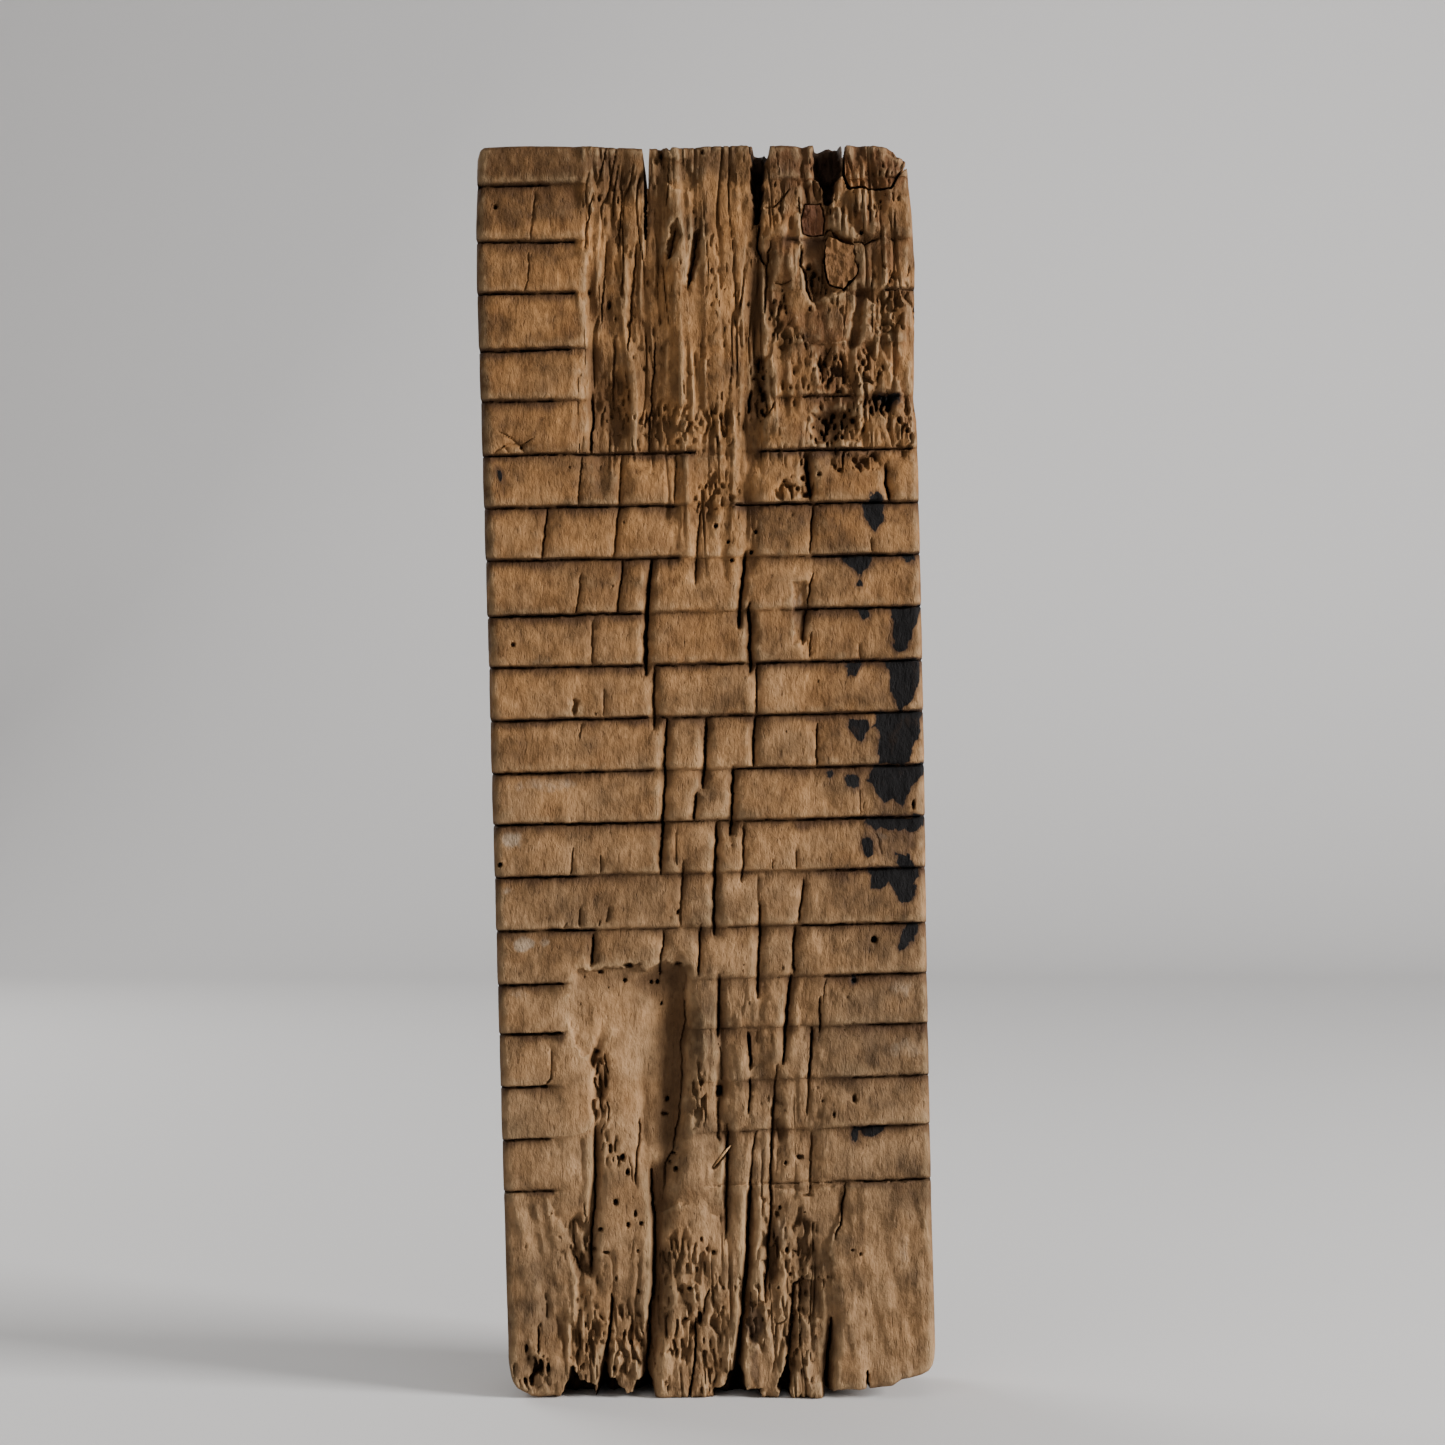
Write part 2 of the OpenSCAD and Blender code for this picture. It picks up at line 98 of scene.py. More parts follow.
# Splits: width at the start, width at the end, depth, then the path from the top down
SPLITS = [
    (1.4, 1.0, 14, [(-19.8, 489), (-20.2, 476), (-20.4, 466)]),
    (.6, 1.2, 5, [(-24.2, 464), (-25.1, 454), (-26.1, 446), (-27, 438), (-28, 425), (-28.5, 421)]),
    (.5, .9, 4, [(-29.4, 495), (-29.7, 486), (-30.1, 478), (-30.7, 470), (-31.4, 461)]),
    (.5, .9, 4, [(-36.1, 468), (-36.8, 459), (-38, 447), (-38.9, 432)]),
    (.5, .9, 4, [(-41.4, 484), (-43.5, 473), (-45.1, 461)]),
    (.5, .8, 3, [(-15, 466), (-15.9, 457), (-16.6, 447), (-17.2, 441)]),
    (.5, .7, 3, [(-10.1, 497), (-10.7, 488), (-11.7, 478)]),
    (.4, .8, 3, [(-64.1, 486), (-65, 477), (-66.4, 466)]),
    (.5, .8, 3, [(-67.5, 461), (-67.2, 457), (-68.1, 450), (-69.3, 445)]),
    (.7, 1.0, 5, [(-33.4, 427), (-34.3, 418), (-35, 405), (-35.6, 392)]),
    (.7, 1.0, 5, [(-17.5, 424), (-18.1, 412), (-19.6, 401), (-20.9, 387), (-20.9, 380)]),
    (.8, 1.6, 7, [(-43.5, 404), (-43.2, 393), (-44.2, 387), (-44.5, 380)]),
    (.4, .8, 3, [(-48.8, 385), (-49, 380)]),
    (.6, .9, 4, [(-48.1, 379), (-48.5, 371), (-49.7, 359.5)]),
    (.7, 1.1, 5, [(-31.9, 379), (-32.5, 371), (-33.4, 359.5), (-34.7, 349), (-36, 338)]),
    (.6, 1.0, 4, [(-10.1, 379), (-10.4, 369), (-11.3, 359.5)]),
    (.6, 1.2, 5, [(-62.3, 358), (-62.9, 351), (-65, 338.3)]),
    (.6, 1.1, 5, [(-.6, 358), (-1.8, 348), (-3, 334.6), (-3.7, 326.6)]),
    (.5, 1.0, 4, [(-49.4, 332), (-50.6, 320), (-51.6, 315.6)]),
    (.7, 1.1, 5, [(-32.6, 337), (-33.4, 329), (-35, 315.3)]),
    (1.6, 2.6, 10, [(-21, 337), (-22.1, 328), (-23, 319), (-23.8, 308), (-24.2, 291)]),
    (.6, 1.0, 4, [(-44.9, 313), (-45.1, 306), (-45.6, 294.7)]),
    (.8, 1.3, 6, [(-20.5, 294), (-20.9, 286), (-21.5, 269)]),
    (.4, .9, 3, [(-40.8, 285.5), (-41.4, 274.5)]),
    (1.0, 1.6, 8, [(-16.3, 272.6), (-16.9, 264), (-17.5, 255.5), (-17.1, 250), (-18.2, 240), (-18.8, 230),
                   (-19.6, 218), (-20, 211)]),
    (1.2, 1.6, 8, [(-.3, 273), (-.9, 263), (-1.2, 255.5), (-2, 250), (-2.5, 245)]),
    (.4, .7, 3, [(-50.9, 272), (-51.2, 266)]),
    (1.0, 1.6, 7, [(-4.7, 243), (-5.2, 240), (-5.9, 234), (-6, 232)]),
    (.4, .6, 3, [(-13.3, 229), (-13.7, 214.5)]),
    (.6, 1.1, 5, [(-10.7, 216), (-10.9, 211), (-11.3, 208), (-11.9, 200), (-12.5, 195), (-12.6, 190)]),
    (.3, 1.0, 4, [(-55, 222), (-56, 211.5)]),
    (.3, .8, 3, [(-43.7, 219), (-44.2, 212)]),
    (.3, 1.0, 4, [(-52.4, 198), (-53.2, 190.5)]),
    (.3, .8, 3, [(-58.3, 192), (-59.3, 190)]),
    (.3, .8, 3, [(-44.8, 193), (-45.5, 190.5)]),
    (.3, .9, 3, [(-41.2, 198), (-41.9, 192)]),
    (.8, 2.2, 6, [(-47.7, 187), (-48, 183), (-48.5, 175)]),
    (.7, 1.3, 5, [(-19.3, 188), (-19.7, 182), (-20.8, 178), (-21.4, 170)]),
    (.9, 1.4, 6, [(-4.6, 190), (-5.2, 180), (-5.8, 170)]),
    (.4, .9, 4, [(-65.3, 142), (-65.2, 135), (-65.8, 130), (-68, 127.5)]),
    (.5, .7, 5, [(-11.2, 170), (-11.3, 160), (-11.6, 150), (-12.9, 145), (-13.6, 140), (-13, 135),
                  (-13.2, 130), (-14, 120), (-15, 112), (-16.3, 108), (-17.5, 100), (-20.5, 95), (-22, 80)]),
    (.5, 1.0, 5, [(-31, 113), (-31.2, 105), (-32.3, 97), (-32.8, 90), (-33.2, 87)]),
    (.5, .8, 3, [(-35.5, 98), (-34.8, 94), (-34, 88)]),
    (.8, .8, 5, [(-44.5, 139), (-43.5, 134), (-42.8, 131)]),
    (.9, .9, 5, [(-46.2, 131), (-46.3, 123), (-45.5, 121)]),
    (.7, .9, 4, [(-43.8, 120), (-43, 117), (-43.5, 112)]),
    (.6, .6, 3, [(-45, 111), (-46, 107)]),
    (.6, .6, 3, [(-45.5, 103.5), (-46, 100.5)]),
    (.8, 1.3, 7, [(-48.6, 110), (-49, 100), (-49.2, 90), (-49.3, 80), (-50.6, 72), (-51.2, 66), (-51.3, 58),
                  (-51.8, 50)]),
    (.5, .7, 3, [(-53.5, 80), (-53.4, 75), (-52, 70)]),
    (1.0, 1.0, 5, [(-59, 59), (-57.5, 57), (-56, 52)]),
    (1.0, 1.6, 9, [(-26.8, 92), (-26.5, 80), (-25.6, 72), (-25.9, 62), (-26.5, 52), (-26.8, 41), (-28.5, 38),
                   (-28.8, 30), (-29.5, 20), (-30.5, 13)]),
    (.8, 2.2, 9, [(-43.3, 43), (-44, 33), (-45.3, 25), (-46.5, 17)]),
    (.6, 1.0, 5, [(-73.5, 31), (-73.2, 25), (-73, 20)]),
    (.6, .6, 4, [(-69.5, 40), (-69.8, 34)]),
    (.6, 1.8, 8, [(-10, 32), (-10.2, 22), (-11, 14), (-12.5, 6), (-13.3, 0)]),
    (1.0, 1.0, 5, [(-4.3, 44), (-5.8, 40), (-6.7, 33.6)]),
    (.5, .8, 3, [(-21, 10), (-22, 3)]),
    (1.2, .6, 7, [(25.3, 471), (24.4, 460.4), (26.5, 455.5), (27.7, 453.7)]),
    (.7, 1.0, 5, [(29.4, 464), (28.7, 457), (27.7, 453), (27.4, 444.5), (26.5, 435)]),
    (.8, .8, 4, [(37.9, 484.3), (31.7, 477.3), (27.4, 476.7)]),
    (.9, .9, 5, [(41.2, 480.7), (41.9, 473), (41.9, 464.7)]),
    (.9, .8, 5, [(51, 463.8), (52, 467.5), (53.8, 467.8), (56, 465), (58.1, 463.2), (61.8, 462.3), (64, 462.9),
                 (66.4, 462.6), (67.3, 461.3), (69.8, 462.9), (73.4, 463.6)]),
    (.8, .8, 4, [(54, 477), (54.1, 467.8)]),
    (.9, .9, 6, [(62.1, 461.6), (61.5, 456), (61.7, 449)]),
    (1.0, 1.0, 6, [(64.9, 451), (62.4, 447.5), (60, 445), (58.7, 443)]),
    (2.5, 2.0, 6, [(41.9, 461.6), (41.2, 453.7), (43.4, 450.6), (43.4, 444.5), (45.8, 439)]),
    (.7, .7, 4, [(30.8, 447), (33.6, 446), (37.3, 447.5)]),
    (.5, .8, 3, [(79.3, 482), (79.2, 478)]),
    (.8, .8, 4, [(53.5, 421), (48.9, 413), (49.2, 407)]),
    (.6, .6, 3, [(50.8, 411.6), (52.6, 405.5)]),
    (1.5, 1.5, 8, [(20.4, 403.6), (19.2, 395)]),
    (.7, .7, 4, [(29.6, 399), (26.8, 393)]),
    (2.6, 2.8, 8, [(41.9, 376.6), (42.2, 368.7), (43.4, 360)]),
    (1.4, 2.0, 7, [(73.7, 373), (73.7, 365), (75, 358.5)]),
    (.8, 1.2, 5, [(44.3, 356.7), (43.7, 351), (42.7, 338.3)]),
    (.5, .9, 3, [(67.2, 343.5), (67.3, 338)]),
    (1.6, 2.0, 9, [(17, 339), (15.8, 330), (14.6, 320.5), (13.6, 314), (13.3, 309)]),
    (1.4, 2.0, 9, [(17.9, 318.6), (17.7, 310), (17.9, 306), (17.6, 294), (17.5, 291)]),
    (.9, 1.1, 5, [(20.2, 293.5), (20.1, 283.7), (19.6, 274)]),
    (.8, 1.1, 5, [(43.4, 330), (41.9, 321.7), (40.9, 315.6), (39.7, 309), (38.8, 301.5)]),
    (.6, .9, 4, [(42.2, 306), (41.4, 296.5)]),
    (.4, .9, 3, [(61.2, 302), (62, 295)]),
    (1.0, 1.5, 7, [(18.9, 273), (18.5, 264), (17.9, 253)]),
    (.7, 1.0, 5, [(44, 269.6), (43.7, 260), (43.4, 253)]),
    (1.4, 1.6, 8, [(10, 253), (9.3, 240), (8.7, 230)]),
    (1.6, .5, 8, [(8.7, 231), (8.1, 225.5)]),
    (.8, 1.0, 5, [(13.9, 230), (13.3, 222), (13, 214), (12.3, 207)]),
    (1.2, 1.2, 8, [(3, 231), (2.2, 220), (1.5, 205), (.8, 195), (.6, 186)]),
    (.7, .7, 3, [(19, 209), (18.6, 198)]),
    (.8, 1.2, 7, [(19.6, 199), (19.2, 194), (19.1, 189), (18.7, 180), (18.2, 170), (17.8, 165), (17.5, 160)]),
    (.6, 1.4, 6, [(37.3, 207), (36.2, 200), (35.2, 192), (35.2, 190.5)]),
    (.9, 1.2, 6, [(33.6, 189), (32.8, 182), (32.5, 170)]),
    (.3, .9, 4, [(34.5, 219), (34, 212)]),
    (.3, .8, 3, [(25, 216), (24.8, 212)]),
    (.5, .6, 2, [(60.3, 243), (60.2, 237), (60.6, 233)]),
    (.5, .5, 2, [(61.8, 238), (62, 235)]),
    (.5, .5, 2, [(66.2, 226), (67.5, 222), (68.5, 216)]),
    (1.1, 1.4, 7, [(2.5, 170), (2, 160), (1.8, 150), (1.1, 145)]),
    (.7, .8, 4, [(1.4, 142), (2.5, 138), (2.6, 131), (2.4, 127)]),
    (1.0, .8, 5, [(1, 120), (.8, 112), (.6, 105), (1, 103)]),
    (1.0, 1.0, 7, [(4.6, 110), (4.2, 100), (3.9, 95), (3.6, 85), (3.2, 80), (3, 70), (2.8, 64)]),
    (1.4, 2.2, 9, [(31.5, 169), (30.5, 162), (29.5, 155), (28.7, 148)]),
    (2.2, .7, 9, [(28.7, 149), (28, 140), (27.2, 133.5)]),
    (.9, 1.1, 7, [(25, 133), (24.3, 128), (23.5, 120), (22.8, 112), (22.2, 105), (21.6, 95), (21.2, 86),
                  (21.2, 80), (20.9, 70), (20.4, 67), (19.8, 60), (19.2, 52), (18.2, 45), (18, 38)]),
    (.6, .7, 3, [(45.3, 167), (44, 160), (43.9, 157)]),
    (1.2, .8, 6, [(42.8, 160), (42.6, 152), (42.4, 146)]),
    (1.0, 1.7, 8, [(39.3, 148), (38.7, 142), (37.9, 133), (37.6, 127)]),
    (1.2, .4, 5, [(37.6, 128), (37.1, 120), (36.2, 113)]),
    (.7, .9, 5, [(38.2, 106), (37.7, 100), (37.3, 90), (37, 84), (36.8, 81)]),
    (1.0, 1.0, 4, [(33.8, 80.7), (38.3, 80.9)]),
    (2.0, 2.2, 8, [(13.5, 146), (14, 143), (14.5, 135), (14, 132)]),
    (1.2, .8, 6, [(14, 128), (13.6, 120), (12.9, 114)]),
    (.8, .5, 3, [(17.3, 147), (17.1, 142)]),
    (.6, .5, 3, [(23.3, 146), (22.9, 142)]),
    (.4, .5, 2, [(21, 166), (20.6, 162)]),
    (.5, .9, 5, [(16, 107), (14.5, 100), (13.9, 94), (13.4, 88)]),
    (1.2, 2.2, 10, [(13.4, 90), (12.7, 80), (12.2, 75), (11.8, 67), (11.3, 60), (10.7, 52), (10, 45), (9.3, 40),
                    (8.8, 33), (7.8, 25), (7, 18), (6, 12), (5.2, 6), (4.8, -2)]),
    (.5, .5, 4, [(18.3, 100), (17.9, 90), (17.6, 85), (17.6, 72)]),
    (.9, .8, 6, [(51.3, 86), (50.8, 80), (49.5, 75), (48.7, 68), (47.2, 66), (46.8, 63)]),
    (.5, .8, 4, [(24.8, 40), (25.5, 33), (26.4, 31), (25, 29.5), (22.2, 29), (21.8, 22), (21.2, 15), (20.4, 10)]),
    (1.2, 1.2, 6, [(33.5, 46.5), (32.2, 45.6), (29.8, 44.8), (28.9, 38), (28.5, 30), (27.8, 22), (27, 16)]),
    (.6, .6, 3, [(41.5, 47), (41.5, 43)]),
    (.8, 2.4, 10, [(44.5, 31), (43.8, 22), (42.7, 15), (42, 8), (41.8, -2)]),
    (.8, 1.4, 9, [(58.5, 10), (58.3, 1)]),
    (.9, 1.4, 5, [(-8, 470), (-9.6, 464), (-11.7, 457)]),
    (.9, 1.6, 6, [(0, 468), (-1.4, 458), (-3.7, 445.5)]),
    (.4, .4, 3, [(-83, 380.8), (-78, 384.4), (-72.4, 383.6), (-67, 386.5)]),
    (.4, .4, 3, [(-81, 389.4), (-76, 386.6), (-72.4, 383.4), (-70.6, 380.6)]),
    (.4, .4, 3, [(-79.6, 384), (-77, 381)]),
]

# Long hollows and V grooves: rows of height, x of the bottom, depth, reach to the left, reach to the right
HOLLOWS = [
    [(180, -14, 0, 40, 9), (174, -14, 3, 38, 9), (168, -14, 7, 40, 9), (150, -14, 9.5, 46, 10),
     (135, -15.5, 10, 48, 11), (120, -17, 9.5, 47, 11), (108, -18.5, 7.5, 34, 10), (95, -21, 4.5, 24, 10),
     (80, -24, 2, 16, 9), (62, -26, 0, 10, 9)],
    [(146, -29, 0, 3, 6), (125, -29, 1.3, 3, 6), (105, -29, 1.6, 3, 6), (90, -29, 0, 3, 6)],
    [(96, -26.8, 0, 1.4, 10), (88, -26.8, 3, 1.4, 11), (72, -25.6, 4, 1.4, 10), (52, -26.5, 4.6, 1.6, 11),
     (41, -27, 5, 1.6, 9), (30, -28.8, 6, 1.6, 9), (13, -30.5, 9, 1.8, 7), (0, -31, 11, 2, 6)],
    [(113, -48.6, 0, 1, 5), (108, -48.6, 3.2, 1.2, 6), (90, -49.2, 3.6, 1.4, 7), (75, -51, 3, 1.4, 5),
     (66, -51.2, 2.5, 1.4, 5), (48, -51.8, 0, 1.4, 4)],
    [(109, -54.3, 0, 1, 2), (104, -54.3, 1.3, 1, 2.2), (90, -54.3, 1.0, 1, 2.2), (84, -54.3, 0, 1, 2)],
    [(92, 13.4, 0, 1.2, 3), (75, 12.2, 3.5, 1.6, 4.5), (52, 10.7, 4.5, 1.8, 5), (33, 8.8, 6, 2, 3),
     (18, 7, 9, 2.5, 3), (0, 5, 12, 3, 4)],
    [(76, 20.8, 0, 1, 4), (62, 20, 2.2, 1.2, 5), (50, 19, 2.4, 1.2, 4), (38, 18, 0, 1, 3)],
    [(118, 3, 0, 2, 6), (100, 4, 2.5, 2, 6), (80, 3.4, 3, 2, 7), (62, 3, 0, 2, 6)],
    [(172, 2, 0, 2, 5), (160, 2, 1.6, 2, 6), (140, 3, 3, 4, 9), (124, 2.4, 3, 4, 6), (110, 1, 1, 3, 4),
     (100, 1, 0, 3, 4)],
    [(172, 31, 0, 2, 3), (150, 29, 2.2, 2.4, 3.5), (133, 27, 0, 2, 3)],
    [(46, 29, 0, 1, 4), (34, 28.6, 2.2, 1.4, 6), (16, 27, 3, 1.6, 4), (4, 26, 5, 2, 3)],
    [(40, 45.5, 0, 2, 5), (30, 44.5, 2, 2, 6), (14, 42.6, 5, 2.4, 4), (0, 41.8, 9, 2.4, 3)],
    [(22, -44.6, 0, 2, 2), (17, -46.8, 6, 1.6, 4), (10, -47.4, 11, 2.2, 2.4), (0, -48, 14, 2.6, 3)],
    [(160, -44, 0, 3, 4), (150, -44.5, 1.2, 4, 4), (141, -47.3, 1.9, 1.6, 4), (138.5, -48, 0, 1, 2)],
    [(137, -51, 0, 2, 3), (133, -52, 1.2, 3, 4), (129.5, -52, 0, 2, 3)],
]

# Broken steps: depth, how far the sunk side takes to rise again, path (its left is the sunk side)
LEDGES = [
    (2.8, 16, [(-7, 172.5), (-10.4, 173.5), (-19.6, 175.3), (-27, 172.3), (-29, 175.6), (-34.4, 174.5),
               (-39.9, 173.6), (-49.7, 172.9), (-56, 174)]),
    (1.3, 9, [(-59, 168), (-57.5, 150), (-55.5, 142), (-50, 137), (-48, 128), (-47, 121), (-49, 112), (-53, 107)]),
    (1.0, 9, [(-50, 109.6), (-54, 107.6), (-62, 107.5), (-67, 106)]),
    (1.3, 8, [(-68, 84), (-66, 74), (-60, 66), (-58, 58), (-56, 50), (-58, 40), (-60, 26), (-61, 12)]),
    (1.6, 9, [(42, 2), (44, 28), (45, 47), (44, 60), (47, 68), (50, 78), (51.5, 88)]),
    (1.0, 10, [(-40, 501), (-42, 472), (-45.5, 440), (-44, 402), (-44.6, 380)]),
    (1.2, 8, [(-26, 380), (-10, 378), (2, 377), (14, 378.5)]),
    (1.4, 7, [(30, 398), (28, 412), (31, 430), (29, 446), (31, 462)]),
    (1.5, 6, [(58, 441), (66, 441), (70, 438), (72, 425), (70, 410)]),
    (1.2, 6, [(40, 424), (48, 421), (57, 423), (64, 420)]),
    (1.3, 6, [(66, 432), (74, 418), (80, 404), (83, 392), (84, 384)]),
    (1.5, 5, [(58.5, 486), (57, 478), (61, 470), (67, 462), (73, 464), (84, 462)]),
    (1.0, 7, [(24, 30), (23, 46), (24.6, 60), (27, 78)]),
    (1.0, 6, [(-24.5, 74), (-16, 79), (-6, 76), (2, 70)]),
    (1.0, 6, [(14, 88), (22, 84.5), (34, 82), (46, 84), (60, 85)]),
]

# Outlines of sunk or rotted patches: depth, softness of the wall, then the outline. Those deeper than SLOT_DEEP
# are cut as slots, the others are worn into the relief
SLOT_DEEP = 9
SUNK = [
    (15, 1.2, [(-59.5, 15.5), (-61, 12), (-62.4, 8), (-63.4, 4.5), (-65, 1), (-65, -6), (-51, -6), (-51, 6.5),
               (-53.5, 7), (-57, 8.7), (-58.8, 12)]),
    (15, 1.2, [(-49.6, 8), (-50.4, 3), (-51, -6), (-26, -6), (-28, 6), (-30.4, 12), (-31.5, 9), (-34, 8),
               (-35, 5), (-36, 3), (-38, 3), (-42, 6), (-42.5, 9.5), (-45.4, 9), (-46.6, 14), (-48, 14)]),
    (14, 1.2, [(26.4, 17), (25, 12), (22.2, 5.5), (22.4, 2.6), (23.5, -5), (27.6, -5), (27.6, 8), (27.2, 14)]),
    (13, 1.5, [(-3.6, 3.6), (0, 4.6), (1.6, 7), (3, 11), (8, 12), (10, 3), (16, 4), (15, -6), (-5, -6)]),
    (3, 2.0, [(45, 3), (58, 2.6), (58, -4), (45, -4)]),
    (14, 1.2, [(47, 512), (59, 512), (58.6, 489.5), (56, 486), (55.6, 478), (51.4, 478), (50.6, 486),
               (47.2, 488.5)]),
    (19, 1.6, [(24, 512), (28.7, 512), (28.7, 496.6), (26.8, 480.7), (25.4, 470.8), (23.2, 471), (22.5, 485),
               (22.8, 498)]),
    (3.2, 2.4, [(42, 487), (52, 487), (56, 478), (54, 469), (62, 463.8), (65.6, 452), (58.6, 442.4),
                (45.8, 438.4), (41.4, 452), (41.8, 464)]),
    (3.0, 1.6, [(64, 447), (67.5, 444), (66.5, 434), (65, 424), (61, 418), (59.5, 421), (61.5, 432)]),
    (3.0, 2.0, [(22, 417.5), (27, 417), (26, 401), (22.6, 401.5)]),
    (2.6, 2.5, [(44, 394.5), (56, 396), (64.5, 393), (64, 381), (44.5, 381)]),
    (1.6, 1.0, [(34.8, 327), (41, 327), (40, 303), (35.4, 302)]),
    (1.4, .8, [(31, 47), (40.6, 46.6), (41, 31), (35, 29.6), (31.4, 34)]),
    (2.0, 1.5, [(10.4, 38), (14, 39.6), (17.6, 35), (17.8, 25), (14, 20.8), (11, 21.6), (9.2, 27)]),
    (2.6, .8, [(-10.4, 471), (-7.6, 473), (-6, 466.5), (-8.4, 459), (-12, 457), (-11.6, 463)]),
    (2.8, .8, [(-1.6, 467), (1.6, 469.5), (1.2, 459), (-1.8, 448), (-4.6, 446.6), (-3.2, 456)]),
    (1.2, 1.0, [(-13, 498), (-3, 497), (1, 488), (-1.4, 483.6), (-9, 485), (-12.6, 489)]),
    (3.0, 1.5, [(-53.4, 281.5), (-50.6, 281), (-52.4, 274.2), (-54.6, 274.4)]),
]

# Single pits and beetle holes: x, z, half width, half height, depth
PITS = [
    (-80.3, 479.4, .75, .75, 4), (-38.9, 482.5, .7, 1.6, 3), (-35.6, 439.6, .7, 2, 4), (-43.7, 444.8, .7, .9, 3),
    (-13.5, 498.7, 1, 1.6, 4), (66.3, 466.5, .8, .8, 4), (-77, 304, .8, .8, 3), (5.2, 349.8, .7, .7, 6),
    (10.1, 343.3, .7, .7, 6), (21.1, 347, .7, .7, 6), (11.2, 336, .7, .7, 5), (19.2, 339, .7, .7, 6),
    (64.9, 182.6, 1.2, 1.2, 9), (-84.3, 215.8, .75, .8, 6), (81.8, 236.5, .6, 1.6, 5), (-13.5, 195.5, .8, 1, 4),
    (-35.5, 168.5, .7, .8, 5), (-25, 167.3, .6, .6, 4), (-22.5, 167.3, .7, .8, 5), (-21, 158.5, .6, .7, 4),
    (-47.4, 139.8, 1.3, .9, 4), (-19.6, 119.7, .7, 1.1, 6), (-37.9, 97.7, 1.1, 1.3, 6), (-36, 91.7, .8, 1.3, 5),
    (-16.5, 92.5, .9, 1.1, 5), (-17.5, 98.5, 1.3, .8, 4), (-19, 95, .7, .8, 3), (-20.8, 114, 1.4, .8, 3),
    (33, 96, 1.6, 1, 3), (27.5, 94, .7, .8, 3), (47.3, 113, .5, 1.2, 3), (55.6, 119, .8, 1.7, 3.5),
    (42.8, 118.5, .6, .5, 2), (1.5, 123, 1.4, 2.5, 8), (-41, 80, .9, 1.2, 5), (-47.2, 69, .9, .8, 4),
    (-36.2, 70.5, .7, 1, 4), (-33.2, 75, .6, 1.3, 4), (-31.1, 71, .8, .8, 4), (-45.3, 59.7, 1.3, .6, 4),
    (-50, 61, .8, .8, 3), (-32.5, 60, .6, .6, 3),
    (-78.8, 8.6, .7, 1.4, 4), (-72.4, 14.5, 1, 3, 6), (-69.6, 13.4, .8, 2.4, 5), (-78, 22, .6, 1.8, 4),
    (-62, 2.8, .9, .5, 3), (-43, 12.6, .8, 1.8, 4), (-35.8, 28.6, .8, 1.8, 4), (-36.4, 22.6, .8, 1, 4),
    (-32.6, 43.4, .7, 1.3, 4), (-14, 31.8, 1.1, .8, 4), (-8.4, 32, 1, 3, 5), (-5, 60, .6, 1, 3),
    (-7, 64, .5, 1, 3), (-2.2, 58.4, .8, .8, 4), (-9.2, 51.5, .8, 1.6, 4), (-12, 44.4, 1.2, .9, 4),
    (53.4, 58.4, .5, .5, 3), (56.6, 56.8, .5, .5, 3), (23.6, 73, 1, 1.4, 3), (24.8, 75.6, .6, .9, 3),
    (27.2, 58.6, .8, 1.4, 4), (30.4, 57.6, .6, .6, 3), (26.7, 52.8, .7, 1.8, 3), (28.4, 48.8, .6, .8, 4),
    (33, 367, .9, .8, 3), (35.4, 365, .9, .9, 3), (38.2, 364, .8, .8, 3),
    (47, 369.6, 1, .8, 3), (55, 371, 1, .8, 3), (-72, 383, .8, .8, 3),
    (-45.2, 172, 1.2, .8, 3), (-34.3, 174.5, 2.4, .9, 4), (-14, 174.6, 2, .8, 4), (56.5, 166.3, 1.1, 1, 2),
]

# Areas of small pits at seeded random places: how many, (x, x, z, z), (least, most radius), depth, how much
# taller than wide, seed
SCATTER = [
    (26, (-42, 22, 384, 500), (.3, .6), 2.0, 4.4, 51),
    (26, (-62, -30, 4, 50), (.3, .7), 2.6, 3.6, 52),
    (20, (-24, 4, 4, 50), (.3, .7), 2.4, 3.4, 53),
    (24, (28, 84, 384, 484), (.35, .8), 2.6, 3.4, 54),
    (14, (-84, -60, 4, 80), (.3, .6), 1.6, 2.6, 55),
    (16, (18, 46, 30, 80), (.3, .7), 2.2, 2.4, 56),
    (36, (-60, 60, 100, 380), (.22, .4), 1.4, 2.0, 57),
]

# Patches eaten into upright cells: x, z, half width, half height, depth
EATEN = [
    (54, 388, 11, 8.5, 4.6), (42, 368, 3, 9, 3.6), (35, 363, 7, 3.5, 2.8), (24.6, 404, 2.8, 13, 4.5),
    (-12, 391, 13, 10, 2), (53, 410, 6, 9, 4), (72, 397, 7, 5, 4.5),
    (8, 389, 10, 9, 2.6), (-34, 398, 7, 14, 1.9), (-77, 11.5, 6.5, 7.5, 5), (-53, 26, 6, 15, 3),
    (-37, 24, 6, 16, 3.2), (-17, 28, 7, 17, 3), (-4, 18, 5, 13, 3), (30, 24, 5, 13, 3), (21, 58, 5, 14, 3),
    (33, 62, 6, 12, 2.6), (62, 374, 9, 4, 3), (80, 386, 5, 9, 3.4), (46, 448, 3, 8, 4), (-55, 62, 6, 12, 2.4),
    (-14, 56, 9, 12, 2.4), (-42, 100, 3, 9, 3.2), (77, 436, 5, 14, 2.6), (68, 412, 5, 9, 3), (33, 432, 5, 12, 2.6),
    (24, 110, 4, 12, 2.4), (-7, 120, 4, 13, 2.6), (-47, 128, 3.4, 16, 3), (5, 362, 8, 9, 2.2),
]

